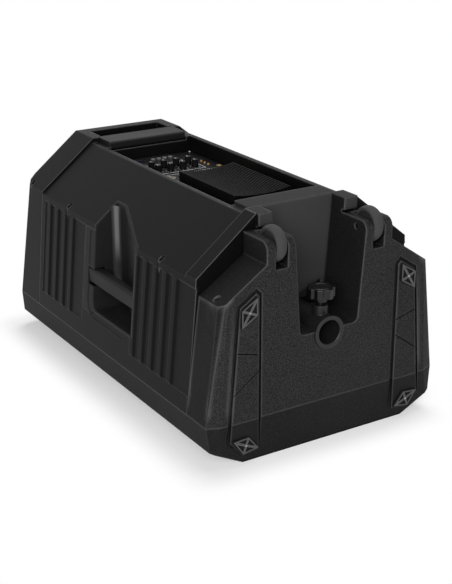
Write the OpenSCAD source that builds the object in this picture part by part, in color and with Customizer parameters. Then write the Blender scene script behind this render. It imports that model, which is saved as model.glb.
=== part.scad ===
// Portable powered two-way loudspeaker, lying on its grille with the rear side up.
// +X is the width, +Y runs from the bottom end (feet, wheels, pole socket) to the top end, +Z is up.
// The origin is the middle of the footprint on the floor.

/* [Cabinet] */
// Width across the fold line at the seam
cab_w = 398; // [384:1:420]
// Length from the bottom face to the top end
cab_l = 646; // [620:1:700]
// Height of the seam between the two halves
seam_z = 65; // [58:1:75]
// Height of the bevelled edge of the front half
bevel_z = 28; // [24:1:32]
// Distance of the bevelled edge inside the widest line
bevel_in = 4.5; // [2:0.5:9]
// Distance of the flat front inside the widest line
front_in = 58; // [50:1:68]
// Distance of the shoulder inside the widest line
shoulder_in = 18; // [10:1:22]
// Height of the shoulders
shoulder_z = 258; // [250:1:268]
// Width of the rear between the slopes
rear_w = 176; // [174:1:188]
// Height of the rims beside the amplifier recess
rim_z = 332; // [328:1:345]
// Rise of the end bands above the rims
band_rise = 8; // [5:0.5:12]
// Height of the end bands' foot above the shoulder
band_foot = 4; // [2:0.5:6]
// Rise of the land behind the pole channel above the rims
land_rise = 6; // [3:0.5:7]
// Wall thickness of both cabinet halves
wall = 4; // [3:0.5:5]
// Corner cut across the width, at the seam
corner_x = 20; // [12:1:26]
// Corner cut along the length, at the seam
corner_y = 8; // [4:1:12]
// Lean of the corner cut per millimetre of height
corner_lean = 0.055; // [0.03:0.005:0.08]
// Lean of a bottom corner's outer edge per millimetre of height
edge_lean = 0.133; // [0.11:0.001:0.14]
// Lean of a top corner's outer edge per millimetre of height
far_edge_lean = 0.108; // [0.1:0.001:0.12]
// Direction of the corner's outer cut, in degrees
edge_angle = 61; // [50:1:70]
// Lean of the end faces below the seam
end_lean = 4; // [1:0.5:6]
// Lean of the top end up to the shoulders
far_lean = 18; // [10:1:24]
// Length of the raised band at the top end
far_band_l = 84; // [70:1:95]
// Length of the raised band at the bottom end
near_band_l = 28; // [20:1:34]

/* [Side ribs] */
// Depth of the fields that hold the ribs
field_d = 1.5; // [1:0.1:2]
// Distance of the far field from the top end
field_far = 96; // [90:1:110]
// Gap between a field and the handle frame
field_gap = 3; // [2:0.5:6]
// Number of ribs towards the bottom end
rib_count = 5; // [2:1:5]
// Number of ribs towards the top end
far_rib_count = 4; // [2:1:4]
// Distance between ribs
rib_pitch = 28.5; // [24:0.5:29]
// Width of a rib at its foot
rib_w = 20; // [14:0.5:22]
// Width of a rib's flank
rib_flank = 5; // [3:0.5:6]
// Height of a rib above the field
rib_h = 2.5; // [1.5:0.1:3]
// Height of the ribs' lower ends above the seam
rib_low = 28; // [20:1:40]
// Distance of the ribs' upper ends below the shoulder
rib_high = 9; // [5:1:20]
// Distance of the first rib's middle from the scoop
rib_start = 1; // [0:0.5:3]
// Distance of the last far rib from the field's end
rib_end = 20; // [14:0.5:24]

/* [Bottom end] */
// Distance of the slopes' step from the bottom face
step_l = 60; // [56:1:68]
// Height of the lower shoulder beside the wheels
low_shoulder_z = 239; // [228:1:244]
// Distance of the lower shoulder inside the side
low_step = 5.5; // [3:0.5:7]
// Rise of the lower slope per millimetre of width
low_slope = 0.67; // [0.55:0.01:0.72]
// Depth of the pole channel from the bottom face
channel_l = 85; // [78:1:95]
// Width of the pole channel at its floor
channel_w0 = 100; // [90:1:106]
// Width of the pole channel at the rear
channel_w1 = 124; // [116:1:128]
// Height of the pole channel's floor
channel_z = 172; // [168:1:178]
// Radius of the pole channel's lower corners
channel_r = 8; // [4:1:12]
// Depth of the finger room behind the clamp knob
undercut_l = 28; // [15:1:32]
// Height of the finger room above the channel floor
undercut_h = 40; // [30:1:46]
// Drop of the finger room's upper edge at the middle
undercut_point = 20; // [10:1:26]

/* [Wheels] */
// Distance between the middle planes of the wheels
wheel_track = 164; // [160:1:168]
// Radius over the tyre
wheel_r = 26; // [23:0.5:27]
// Width of the tyre
wheel_w = 16; // [12:0.5:17]
// Thickness of the tyre
tyre_t = 6; // [4:0.5:8]
// Radius of the tyre's rounded tread
tread_r = 12; // [9:0.5:16]
// Distance of the hub inside the tyre, on each side
hub_in = 1; // [0.5:0.5:2]
// Width of the hub's outer ring
hub_ring = 2.5; // [2:0.5:4]
// Wall of the hub round the axle
hub_wall = 3; // [2:0.5:5]
// Depth of the hub's dish on each side
hub_dish = 2; // [1:0.5:4]
// Gap between the wheel and the sides of its slot
wheel_gap = 2; // [1:0.5:3]
// Gap between the tyre and its slot
slot_gap = 4; // [2:0.5:6]
// Radius of the axle
axle_r = 4; // [3:0.5:5]
// Running clearance of the hub on the axle
axle_fit = 0.05; // [0.02:0.01:0.1]
// How far the tyre stands out of the bottom face
wheel_proud = 3; // [1:0.5:5]
// Height of the axle
wheel_z = 307; // [302:1:310]
// Thickness of the wheel bracket's outer wall
bracket_t = 14; // [10:1:16]
// Height of the wheel bracket above the axle
bracket_rise = 11; // [9:1:12]
// Depth of the wheel bracket below the slot
bracket_foot = 12; // [8:1:16]
// Radius of the wheel bracket's upper corner
bracket_r = 14; // [8:1:18]
// Gap between the wheel bracket and the band end
guard_gap = 4; // [2:0.5:6]
// Reach of the band end past the step
guard_l = 6; // [3:1:8]

/* [Feet] */
// Thickness of the foot rails
rail_t = 2; // [1:0.5:3]
// Thickness of the rubber feet
pad_t = 4; // [2:0.5:6]
// Distance of the rails inside the widest line
rail_side = 34; // [33:1:39]
// Width of the rails
rail_w = 46; // [42:1:49]
// Lean of the rails' outer edge
rail_lean = 16; // [12:1:16]
// Height of the rails' lower end
rail_z0 = 14; // [10:1:18]
// Height of the rails' upper end
rail_z1 = 251; // [240:1:253]
// Slant of the rails' upper end
rail_slant = 17; // [12:1:22]
// Slant of the rails' lower end
rail_rise = 24; // [20:1:26]
// Width of the groove round a rail
moat_w = 5; // [3:0.5:6]
// Depth of the groove round a rail
moat_d = 3; // [1.5:0.5:3]
// Height of the groove's lower end above the rail's
moat_low = 14; // [12:1:20]
// Width of the two cross lines on a rail
line_w = 1.8; // [0.8:0.1:2]
// Height of the upper cross line at the rail's inner edge
line_z1 = 160; // [150:1:170]
// Rise of the upper cross line to the rail's outer edge
line_rise1 = 12; // [6:1:16]
// Height of the lower cross line at the rail's inner edge
line_z0 = 136; // [125:1:145]
// Drop of the lower cross line to the rail's outer edge
line_drop0 = 33; // [20:1:40]
// Margin of a foot inside its rail
foot_margin = 4.5; // [3:0.5:6]
// Width of a foot
foot_w = 25; // [22:0.5:26]
// Height of an upper foot
foot_h = 25.5; // [20:0.5:28]
// Slant of an upper foot
foot_slant = 15; // [10:0.5:18]
// Height of a lower foot
low_foot_h = 20; // [16:0.5:22]
// Skew of a lower foot
low_foot_skew = 16; // [12:0.5:17]
// Drop of a lower foot's edges
low_foot_drop = 4; // [2:0.5:5]
// Depth of the relief in a foot
foot_relief = 2; // [0.6:0.1:2]
// Width of the bars in a foot's relief
foot_bar = 1.8; // [1.2:0.1:2.5]

/* [Amplifier recess] */
// Width of the recess
recess_w = 160; // [154:1:164]
// Distance of the recess from the bottom face
recess_near = 132; // [125:1:140]
// Distance of the recess from the top end
recess_far = 128; // [122:1:132]
// Depth of the panel's face below the rims
panel_drop = 27; // [22:1:32]
// Thickness of the panel
panel_t = 3; // [2:0.5:4]
// Thickness of the panel gasket
gasket_t = 1; // [0.5:0.5:2]
// Width of the ledge that carries the panel
ledge_w = 6; // [5:0.5:6.5]
// Thickness of the ledge
ledge_t = 5; // [4:0.5:8]
// Gap around the panel
panel_gap = 0.5; // [0.3:0.1:1]
// Gap around things that pass through the panel
hole_gap = 0.3; // [0.2:0.1:0.5]

/* [Heat sink] */
// Width of the heat sink
sink_w = 98; // [80:1:99]
// Gap between the heat sink and the jacks
sink_gap = 37; // [29:1:59]
// Distance of the heat sink from the recess's near wall
sink_near = 38; // [20:1:40]
// Thickness of the heat sink's base
sink_base = 4; // [3:0.5:6]
// Number of fins
fin_count = 25; // [15:1:29]
// Thickness of a fin
fin_t = 1.6; // [1:0.1:2]
// Distance of the outer fins' tops below the rims
fin_drop = 1; // [0:0.5:4]
// How much lower the middle fins are
fin_sag = 4; // [0:0.5:8]

/* [Knobs and jacks] */
// Distance between knobs in a row
knob_pitch = 23; // [20:0.5:26]
// Distance between the two rows of knobs
knob_rows = 23; // [18:0.5:26]
// Distance of the first row from the recess's far wall
knob_far = 70; // [66:1:76]
// Radius of a knob
knob_r = 6; // [4.5:0.5:7.5]
// Height of a knob
knob_h = 12; // [9:0.5:15]
// Width of a knob's pointer groove
pointer_w = 1; // [0.6:0.1:1.6]
// Depth of a knob's pointer groove
pointer_d = 0.8; // [0.4:0.1:1.2]
// Width of a rotary control's body
pot_w = 12; // [10:0.5:14]
// Floor of a rotary control's body
pot_floor = 4; // [2:0.5:6]
// Gap under a knob
knob_gap = 0.6; // [0.4:0.1:1]
// Radius of a knob's shaft
shaft_r = 3; // [2:0.5:3.5]
// Running clearance of the shaft in its bushing
shaft_fit = 0.05; // [0.02:0.01:0.1]
// Wall of the bushing round a shaft
bushing_t = 1.5; // [1:0.1:2]
// Height of the bushing above the panel
bushing_h = 2.5; // [1.5:0.5:4]
// Radius of an input jack
jack_r = 11.5; // [9:0.5:12]
// Bore radius of an input jack
jack_bore_r = 7; // [5:0.5:8]
// Distance between input jacks
jack_pitch = 34; // [30:1:36]
// Distance of the jacks from the recess's far wall
jack_far = 136; // [128:1:140]
// Height of the jacks' rims above the panel
jack_rim = 2; // [1:0.5:3]
// Width of the jacks' rims
jack_lip = 1.5; // [1:0.5:2.5]
// Floor of an input jack
jack_floor = 3; // [2:0.5:5]
// Offset of the jack row from the middle
jack_x = -7; // [-10:0.5:-4]
// Distance of the phono jacks from the middle
phono_x = 60; // [56:0.5:62]
// Distance between the phono jacks
phono_pitch = 16; // [13:0.5:20]
// Height of a phono jack above the panel
phono_h = 7; // [5:0.5:10]
// Depth of a phono jack's bore
phono_d = 9; // [6:0.5:12]
// Radius of a phono jack
phono_r = 4.5; // [3.5:0.5:5]
// Radius of a phono jack's bore
phono_bore_r = 2; // [1.5:0.1:2.5]

/* [Media player] */
// Width of the media player plate
media_w = 112; // [100:1:116]
// Length of the media player plate
media_l = 42; // [36:1:44]
// Thickness of the media player plate
media_t = 2; // [1.5:0.5:3]
// Distance of the plate from the recess's far wall
media_far = 4; // [2:1:8]
// Offset of the plate from the middle
media_x = -20; // [-22:1:0]
// Radius of the plate's corners
media_r = 4; // [2:0.5:6]
// Distance of the display window from the plate's edge
window_in = 8; // [6:0.5:12]
// Distance of the first push button from the plate's edge
button_in = 10; // [8:0.5:12]
// Width of the display window
window_w = 46; // [36:1:50]
// Length of the display window
window_l = 18; // [14:1:22]
// Thickness of the display window
window_t = 1.2; // [0.8:0.1:1.4]
// Distance between push buttons
button_pitch = 11; // [10:0.5:12]
// Radius of a push button
button_r = 4; // [3:0.5:4.5]
// Height of a push button above the plate
button_h = 1.6; // [1.2:0.1:3]
// Height of the collar under a push button
collar_h = 3; // [2:0.5:4]
// Width of the collar under a push button
collar_w = 1; // [0.6:0.1:1.4]

/* [Mains side] */
// Distance of the mains parts from the middle
mains_x = 63; // [62:0.5:63.5]
// Distance of the inlet from the recess's near wall
inlet_near = 152; // [130:1:160]
// Width of the inlet's body
inlet_w = 20; // [16:1:20]
// Length of the inlet's body
inlet_l = 30; // [26:1:36]
// Margin of the inlet's flange
inlet_flange = 2.5; // [1.5:0.5:2.5]
// Thickness of the inlet's flange
inlet_rim = 2; // [1:0.5:3]
// Wall of the inlet
inlet_wall = 2; // [1.5:0.5:3]
// Depth of the inlet below the panel's face
inlet_d = 24; // [20:1:28]
// Depth of the inlet's opening
inlet_open = 16; // [12:1:18]
// Distance between the inlet's contacts
contact_pitch = 7; // [6:0.5:8]
// Width of a contact
contact_w = 3; // [2:0.5:4]
// Thickness of a contact
contact_t = 2; // [1:0.5:2.5]
// Distance of the switch from the recess's near wall
switch_near = 93; // [80:1:110]
// Width of the switch opening
switch_w = 14; // [12:1:16]
// Length of the switch opening
switch_l = 22; // [18:1:26]
// Wall of the switch frame
switch_wall = 2; // [1.5:0.5:2.5]
// Depth of the switch below the panel's face
switch_d = 14; // [12:1:20]
// Height of the switch frame above the panel
switch_rim = 1.5; // [1:0.5:2]
// Depth of the rocker's pivot below the panel's face
pivot_d = 3; // [2.5:0.5:4]
// Radius of the rocker's pivot
pivot_r = 1.5; // [1:0.1:2]
// Gap round the rocker
rocker_gap = 0.5; // [0.4:0.1:0.8]
// Height of the rocker above its pivot
rocker_h = 5; // [4:0.5:6]
// Depth of the rocker below its pivot
rocker_d = 3; // [2.5:0.5:4]
// Tilt of the rocker at rest
rocker_tilt = 9; // [5:1:12]

/* [Top handle] */
// Width of the finger slot
grip_w = 132; // [120:1:136]
// Length of the finger slot
grip_l = 40; // [34:1:44]
// Distance of the finger slot from the top end
grip_far = 36; // [32:1:40]
// Width of the handle bar
bar_l = 48; // [40:1:48]
// Thickness of the handle bar
bar_t = 14; // [12:1:16]
// Radius of the handle bar's edges
bar_r = 4; // [2:0.5:5]
// Length of the handle bar's seat at each end
bar_seat = 6; // [4:1:8]
// Depth of the finger room below the handle bar
finger_d = 41; // [34:1:46]

/* [Side handles] */
// Distance of the scoop's deep end from mid-length
scoop_far = 40; // [30:1:50]
// Length of the scoop
scoop_l = 128; // [120:1:132]
// Length of the scoop's deep part
scoop_deep_l = 26; // [18:1:34]
// Depth of the scoop from the shoulder
scoop_d = 37; // [30:1:40]
// Height of the scoop's floor
scoop_z = 122; // [118:1:130]
// Radius of the scoop's lower far corner
scoop_r = 15; // [8:1:20]
// Wall of the handle cup
cup_wall = 3.5; // [3:0.5:4.5]
// Length of the frame beside the deep end
frame_l = 34; // [24:1:36]
// Height of the frame's lower edge
frame_z0 = 113; // [106:1:116]
// Distance of the frame's upper edge below the shoulder
frame_drop = 10; // [6:1:16]
// Gap between the cup and the shell
cup_fit = 0.2; // [0.1:0.1:0.4]
// Height of the grip's middle
hold_z = 173; // [166:1:178]
// Height of the grip's section
hold_h = 27; // [22:1:30]
// Width of the grip's section
hold_w = 18; // [15:1:20]
// Radius of the grip's edges
hold_r = 6; // [4:0.5:7]
// Distance of the grip inside the side face
hold_in = 1; // [0.5:0.5:4]
// Length of the grip's tab in the frame
tab_l = 18; // [12:1:20]
// Gap round the tab
tab_gap = 1; // [0.6:0.1:1.2]

/* [Pole socket] */
// Bore of the socket
pole_d = 36; // [35.5:0.1:36.4]
// Depth of the bore
pole_l = 110; // [95:1:115]
// Wall of the socket
socket_wall = 5; // [4:0.5:6]
// Height of the socket's axis
pole_z = 167; // [163:1:169]
// Rise of the socket's lip out of the bottom face
socket_lip = 1.5; // [1:0.5:2]
// Gap between the socket and the shell
socket_fit = 0.2; // [0.1:0.1:0.4]
// Lead-in at the mouth of the bore
lead_in = 1; // [0.5:0.1:1.5]
// Distance of the clamp screw from the bottom face
clamp_back = 22; // [20:1:26]
// Radius of the clamp screw's stud
stud_r = 4; // [3:0.5:5]
// Running clearance of the stud
stud_fit = 0.06; // [0.03:0.01:0.1]
// Radius of the clamp pad
pad_r = 7; // [6:0.5:7.5]
// Height of the clamp pad
clamp_pad_t = 4; // [3:0.5:5]
// Clearance of the clamp pad in its guide
pad_fit = 0.15; // [0.1:0.05:0.3]
// Gap between the clamp pad at rest and the bore
pad_rest = 0.5; // [0.3:0.1:1]
// Gap between the clamp pad and the stud's tip
tip_gap = 0.3; // [0.2:0.1:0.5]
// Travel of the clamp pad
clamp_travel = 4; // [3:0.5:4.5]
// Radius of the clamp boss
boss_r = 11; // [10:0.5:13]
// Radius of the threaded insert
insert_r = 7; // [6:0.5:8]
// Height of the threaded insert
insert_h = 9; // [7:0.5:12]
// Radius of the clamp knob
clamp_knob_r = 20; // [16:0.5:22]
// Height of the clamp knob
clamp_knob_h = 21; // [16:0.5:24]
// Radius of the clamp knob's neck
neck_r = 10; // [7:0.5:12]
// Height of the clamp knob's neck
neck_h = 7; // [4:0.5:9]
// Gap between the tight clamp knob and the boss
knob_clear = 1; // [0.5:0.5:3]
// Number of scallops on the clamp knob
scallop_count = 7; // [5:1:9]
// Depth of the scallops
scallop_d = 3; // [2:0.5:4]
// Radius of the scallops
scallop_r = 6; // [4:0.5:8]

/* [Front] */
// Thickness of the baffle
baffle_t = 10; // [8:1:14]
// Height of the baffle's front face above the bevelled edge
baffle_up = 2; // [1:0.5:4]
// Thickness of the end walls in front of the baffle
end_t = 12; // [10:1:16]
// Thickness of the grille sheet
grille_t = 1.6; // [1:0.1:2]
// Gap around the grille
grille_gap = 0.4; // [0.3:0.1:0.8]
// Distance between the grille's slots
slot_pitch = 16; // [12:1:24]
// Width of the grille's slots
slot_open = 8; // [5:0.5:9]
// Width of the bar down the grille's middle
grille_bar = 16; // [10:1:24]
// Margin of the slots inside the flat front
grille_edge = 16; // [10:1:24]

/* [Woofer] */
// Distance of the woofer's axis from the bottom face
woofer_near = 195; // [185:1:200]
// Outer radius of the woofer's flange
woofer_r = 152; // [145:1:154]
// Thickness of the woofer's flange
flange_t = 5; // [4:0.5:7]
// Radius of the baffle's cut-out
cutout_r = 142; // [139:0.5:143]
// Gap between basket and cut-out
cutout_gap = 1; // [0.5:0.1:2]
// Height of the basket behind the baffle's face
basket_h = 75; // [70:1:85]
// Outer radius of the magnet
magnet_r = 78; // [70:1:82]
// Height of the magnet
magnet_h = 40; // [30:1:45]
// Radius of the voice coil
coil_r = 38; // [34:0.5:40]
// Thickness of the voice coil
coil_t = 0.8; // [0.5:0.1:1]
// Clearance of the voice coil in the magnet's gap
coil_gap = 0.6; // [0.4:0.1:1]
// Outer radius of the cone
cone_r = 118; // [112:0.5:122]
// Depth of the cone
cone_d = 46; // [40:1:50]
// Thickness of the cone
cone_t = 1.6; // [1:0.1:2.5]
// Width of the surround's landing on the basket
landing_w = 9; // [7:0.5:11]
// Distance of the cone's edge in front of the baffle's face
cone_front = 1; // [0.5:0.5:2]
// Thickness of the basket
basket_t = 3; // [2:0.5:4]
// Width of the basket's windows
basket_window = 62; // [40:1:70]
// Height of the closed bands beside the windows
basket_band = 17; // [14:1:20]
// Distance of the spider from the basket's rear ring
spider_drop = 16; // [14:0.5:17]
// Height of the spider's waves
spider_wave = 1.2; // [0.8:0.1:1.4]
// Bulge of the dust cap
cap_d = 13; // [8:0.5:16]
// Gap between the moving cone and the soft parts
soft_gap = 0.4; // [0.3:0.1:0.6]
// Depth of the voice coil in the magnet at rest
coil_in = 9; // [8:0.5:14]
// Thickness of the magnet's back plate
plate_t = 7; // [5:0.5:10]
// Thickness of the surround and the spider
soft_t = 1.2; // [0.8:0.1:2]

/* [Horn and ports] */
// Distance of the horn's axis from the top end
horn_far = 150; // [146:1:156]
// Width of the horn's mouth
horn_w = 236; // [200:1:250]
// Length of the horn's mouth
horn_l = 140; // [120:1:146]
// Margin of the horn's flange
horn_flange = 10; // [8:1:12]
// Height of the horn behind the baffle's face
horn_h = 118; // [100:1:125]
// Radius of the horn's throat
throat_r = 17; // [12:0.5:19]
// Wall of the horn
horn_wall = 4; // [3:0.5:5]
// Radius of the compression driver
driver_r = 45; // [40:1:50]
// Height of the compression driver
driver_h = 52; // [40:1:60]
// Height of the compression driver's cap
driver_cap_h = 12; // [8:1:16]
// Radius of the compression driver's cap
driver_cap_r = 31; // [24:1:36]
// Depth of the compression driver's throat
driver_throat = 16; // [10:1:24]
// Bore radius of a port
port_r = 28; // [24:0.5:29]
// Wall of a port tube
port_wall = 3; // [2:0.5:3.5]
// Width of a port tube's flange
port_lip = 3; // [2:0.5:3]
// Thickness of a port tube's flange
port_flange = 2; // [1.5:0.5:3]
// Length of a port tube
port_l = 84; // [60:1:88]
// Distance of the ports' axes inside the widest line
port_side = 53; // [52:1:57]
// Gap between the horn's flange and the ports
port_gap = 4; // [3:0.5:5]

/* [Screws] */
// Radius of a case screw's shank
screw_r = 2.5; // [2:0.1:3]
// Radius of a case screw's head
head_r = 4.2; // [3.8:0.1:4.6]
// Height of a case screw's head
head_h = 4; // [3:0.5:5]
// Gap round a case screw
screw_gap = 0.3; // [0.2:0.1:0.5]
// Wall of a screw boss
screw_wall = 4; // [3:0.5:5]
// Depth of the screw heads' seats below the slope
screw_sink = 20; // [14:1:24]
// Depth of the bottom end's seats below the lower shoulder
low_screw_sink = 10; // [6:1:14]
// Distance of the case screws inside the shoulder
screw_in = 5; // [4.5:0.5:8]
// Distance of the lower screws inside the lower shoulder
low_screw_in = 8.5; // [7:0.5:12]
// Distance of the lower screws from the bottom face
low_screw_y = 25; // [20:1:28]
// Distance of the near screws from the bottom face
near_screw_y = 162; // [155:1:170]
// Distance of the far screws from the top end
far_screw_y = 181; // [170:1:190]
// Distance of the end screws from the top end
end_screw_y = 37; // [34:1:42]
// Radius of a panel screw
panel_screw_r = 1.6; // [1.2:0.1:1.8]
// Height of a panel screw's head
panel_head_h = 2; // [1.5:0.5:3]
// Reach of a panel screw's head past its shank
panel_head = 1.2; // [0.8:0.1:1.4]
// Distance of a case screw's end from the baffle's face
screw_end = 6; // [4:1:8]

/* [Inside] */
// Clear height between the panel and the amplifier board
board_drop = 22; // [18:1:26]
// Thickness of the amplifier board
board_t = 2; // [1.5:0.5:3]
// Margin of the amplifier board inside the ledge
board_margin = 6; // [4:1:10]
// Height of the power supply
supply_h = 42; // [30:1:50]
// Width of the power supply
supply_w = 92; // [80:1:94]
// Length of the power supply
supply_l = 110; // [80:1:116]
// Radius of the power supply's capacitors
capacitor_r = 11; // [8:0.5:13]
// Height of the power supply's capacitors
capacitor_h = 20; // [12:1:30]
// Distance between the power supply's capacitors
capacitor_pitch = 30; // [28:1:32]
// Thickness of the damping pad
damping_t = 20; // [10:1:26]
// Width of the damping pad
damping_w = 240; // [160:1:260]
// Margin of the damping pad from its neighbours
damping_margin = 20; // [10:1:30]
// Width of the crossover board
cross_w = 90; // [84:1:110]
// Length of the crossover board
cross_l = 38; // [28:1:40]
// Gap between the crossover board and the woofer's cut-out
cross_gap = 4; // [2:0.5:6]
// Radius of the crossover's coils
inductor_r = 11; // [8:0.5:13]
// Height of the crossover's coils
inductor_h = 16; // [10:1:24]
// Distance between the crossover's coils
inductor_pitch = 30; // [28:1:32]

/* [Hidden] */
$fn = 64;
eps = 0.01;
over = 1;
far_out = 400;

// Half widths and end planes, with the feet's thickness shared out about the origin
hw = cab_w / 2;
bevel_x = hw - bevel_in;
front_x = hw - front_in;
shoulder_x = hw - shoulder_in;
rear_x = rear_w / 2;
top_z = rim_z + band_rise;
foot_out = rail_t + pad_t;
yn = -(cab_l - foot_out) / 2;
yf = (cab_l + foot_out) / 2;
step_y = yn + step_l;
side_lean = (shoulder_x - hw) / (shoulder_z - seam_z);
function side_x(z) = hw + side_lean * (z - seam_z);
end_slope = (far_lean - end_lean) / (shoulder_z - seam_z);
slope = (rim_z - shoulder_z) / (shoulder_x - rear_x);
function slope_z(x) = shoulder_z + (shoulder_x - x) * slope;

// Wheel brackets and pole channel
wheel_x = wheel_track / 2;
wheel_y = yn - wheel_proud + wheel_r;
slot_x0 = wheel_x - wheel_w / 2 - wheel_gap;
slot_x1 = wheel_x + wheel_w / 2 + wheel_gap;
slot_z = wheel_z - wheel_r - slot_gap;
bracket_x = slot_x1 + bracket_t;
bracket_z = wheel_z + bracket_rise;
low_x = side_x(low_shoulder_z) - low_step;
low_z = low_shoulder_z + (low_x - bracket_x) * low_slope;
channel_y = yn + channel_l;
guard_z = bracket_z + guard_gap;

// Amplifier recess, from the panel's face down
rec_x = recess_w / 2;
rec_y0 = yn + recess_near;
rec_y1 = yf - recess_far;
panel_z = rim_z - panel_drop;
panel_under = panel_z - panel_t;
ledge_z = panel_under - gasket_t;
ledge_x = rec_x - ledge_w;
board_z = panel_under - board_drop;

// Top handle
grip_y1 = yf - grip_far;
grip_y0 = grip_y1 - grip_l;
bar_y0 = grip_y0 - bar_l;
bar_z = top_z - bar_t;
finger_z = bar_z - finger_d;
grip_x = grip_w / 2;

// Side handle scoop, drawn on the +X side
scoop_x = shoulder_x - scoop_d;
scoop_y0 = scoop_far - scoop_l;
scoop = [[hw + wall, scoop_y0], [hw + wall, scoop_far], [scoop_x, scoop_far],
    [scoop_x, scoop_far - scoop_deep_l], [shoulder_x, scoop_y0]];
frame_z1 = shoulder_z - frame_drop;
hold_x = side_x(hold_z) - hold_w / 2 - hold_in;

// Pole socket and clamp
pole_r = pole_d / 2;
socket_r = pole_r + socket_wall;
clamp_y = yn + clamp_back;
pad_z = pole_z + pole_r + pad_rest;
guide_z = pad_z + clamp_pad_t + eps;
boss_z = guide_z + clamp_travel + insert_h;
clamp_knob_z = boss_z + clamp_travel + knob_clear;

// Front
baffle_z = bevel_z + baffle_up;
baffle_back = baffle_z + baffle_t;
woofer_y = yn + woofer_near;
basket_z = baffle_z + basket_h;
basket_r = cutout_r - cutout_gap;
land_r = basket_r - landing_w;
cone_z = baffle_z - cone_front;
coil_z = cone_z + cone_d;
spider_z = basket_z - spider_drop;
horn_y = yf - horn_far;
port_x = hw - port_side;
port_y = horn_y - horn_l / 2 - horn_flange - port_gap - port_r - port_wall;

// Knobs in two rows of four, and the push buttons' places
knob_places = [for (r = [0:1], c = [0:3])
    [(c - 1.5) * knob_pitch, rec_y1 - knob_far - r * knob_rows]];
media_y = rec_y1 - media_far - media_l / 2;
media_z = panel_z + media_t;
button_places = [for (i = [0:3]) [media_x + media_w / 2 - button_in - i * button_pitch, media_y]];
window_x = media_x - media_w / 2 + window_in + window_w / 2;
jack_y = rec_y1 - jack_far;
jack_places = [for (i = [-1:1]) [jack_x + i * jack_pitch, jack_y]];
phono_places = [for (s = [-1, 1]) [phono_x, jack_y + s * phono_pitch / 2]];
inlet_y = rec_y0 + inlet_near;
switch_y = rec_y0 + switch_near;
sink_y = rec_y0 + sink_near;
sink_l = jack_y - jack_r - jack_lip - sink_gap - sink_y;

// Case screws: place and height of the head's seat
screw_x = shoulder_x - screw_in;
seat_z = slope_z(screw_x) - screw_sink;
low_seat_z = low_shoulder_z - low_screw_sink;
screw_places = [for (s = [-1, 1], p = [[screw_x, yf - end_screw_y, seat_z], [screw_x, yf - far_screw_y, seat_z],
    [screw_x, yn + near_screw_y, seat_z], [low_x - low_screw_in, yn + low_screw_y, low_seat_z]]) [s * p[0], p[1], p[2]]];
panel_screw_places = [for (s = [-1, 1], y = [rec_y0 + ledge_w / 2, (rec_y0 + rec_y1) / 2,
    rec_y1 - ledge_w / 2]) [s * (rec_x - ledge_w / 2), y]];
woofer_screw_pcr = (woofer_r + cutout_r) / 2;

// A convex outline, counter-clockwise, moved in by d
function inset(p, d) = let (n = len(p)) [for (i = [0:n - 1])
    let (a = p[(i + n - 1) % n], b = p[i], c = p[(i + 1) % n],
        u = (b - a) / norm(b - a), v = (c - b) / norm(c - b),
        nu = [-u[1], u[0]], nv = [-v[1], v[0]])
    b + d * (nu + nv) / (1 + nu * nv)];

// Outlines of the cabinet: cross-sections and end view
lower_half = [[-front_x, 0], [front_x, 0], [bevel_x, bevel_z], [hw, seam_z]];
main_outline = concat(lower_half, [[shoulder_x, shoulder_z], [rear_x, rim_z], [-rear_x, rim_z],
    [-shoulder_x, shoulder_z], [-hw, seam_z], [-bevel_x, bevel_z]]);
low_outline = concat(lower_half, [[low_x, low_shoulder_z], [bracket_x, low_z], [-bracket_x, low_z],
    [-low_x, low_shoulder_z], [-hw, seam_z], [-bevel_x, bevel_z]]);
band_x = rear_x - band_rise / 2;
band_outline = [[-shoulder_x, shoulder_z - wall], [shoulder_x, shoulder_z - wall],
    [shoulder_x, shoulder_z + band_foot], [band_x, top_z], [-band_x, top_z], [-shoulder_x, shoulder_z + band_foot]];
end_outline = [[yn + end_lean, 0], [yf - end_lean, 0], [yf, bevel_z], [yf - end_lean, seam_z],
    [yf - far_lean, shoulder_z], [yf - far_lean, top_z + wall], [yn, top_z + wall], [yn, seam_z]];

// A flat outline in X and Z, made solid from y0 to y1
module along_y(y0, y1) {
    translate([0, y1, 0]) rotate([90, 0, 0]) linear_extrude(y1 - y0) children();
}
// A flat outline in Y and Z, made solid from x0 to x1
module along_x(x0, x1) {
    translate([x0, 0, 0]) rotate([90, 0, 90]) linear_extrude(x1 - x0) children();
}
// A flat outline in X and Y, made solid from z0 to z1
module along_z(z0, z1) {
    translate([0, 0, z0]) linear_extrude(z1 - z0) children();
}
// A box from its low corner to its high corner
module box(lo, hi) {
    translate(lo) cube(hi - lo);
}
// A shape drawn on the +X side, put on side s
module on_side(s) {
    mirror([s < 0 ? 1 : 0, 0, 0]) children();
}
// A shape drawn on the +X side, put on both sides
module both_sides() {
    for (s = [-1, 1]) on_side(s) children();
}
// Holes of radius r at places, through a sheet of thickness t that starts at z
module holes(places, r, z, t) {
    for (p = places) translate([p[0], p[1], z - over]) cylinder(r = r, h = t + 2 * over);
}
// A rectangle with round corners, centred
module rounded(w, h, r) {
    square([w - 2 * r, h], center = true);
    square([w, h - 2 * r], center = true);
    for (x = [-1, 1], y = [-1, 1]) translate([x * (w / 2 - r), y * (h / 2 - r)]) circle(r);
}

// What a leaning plane takes off the near +X corner, moved in by d
module corner_plane(x, y, angle, lean_x, lean_y, d) {
    translate([x, y, seam_z]) rotate([atan(lean_y), -atan(lean_x), 0]) translate([0, 0, -far_out])
        linear_extrude(2 * far_out) rotate(angle) translate([-far_out, -far_out]) square([2 * far_out, far_out + d]);
}
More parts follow.
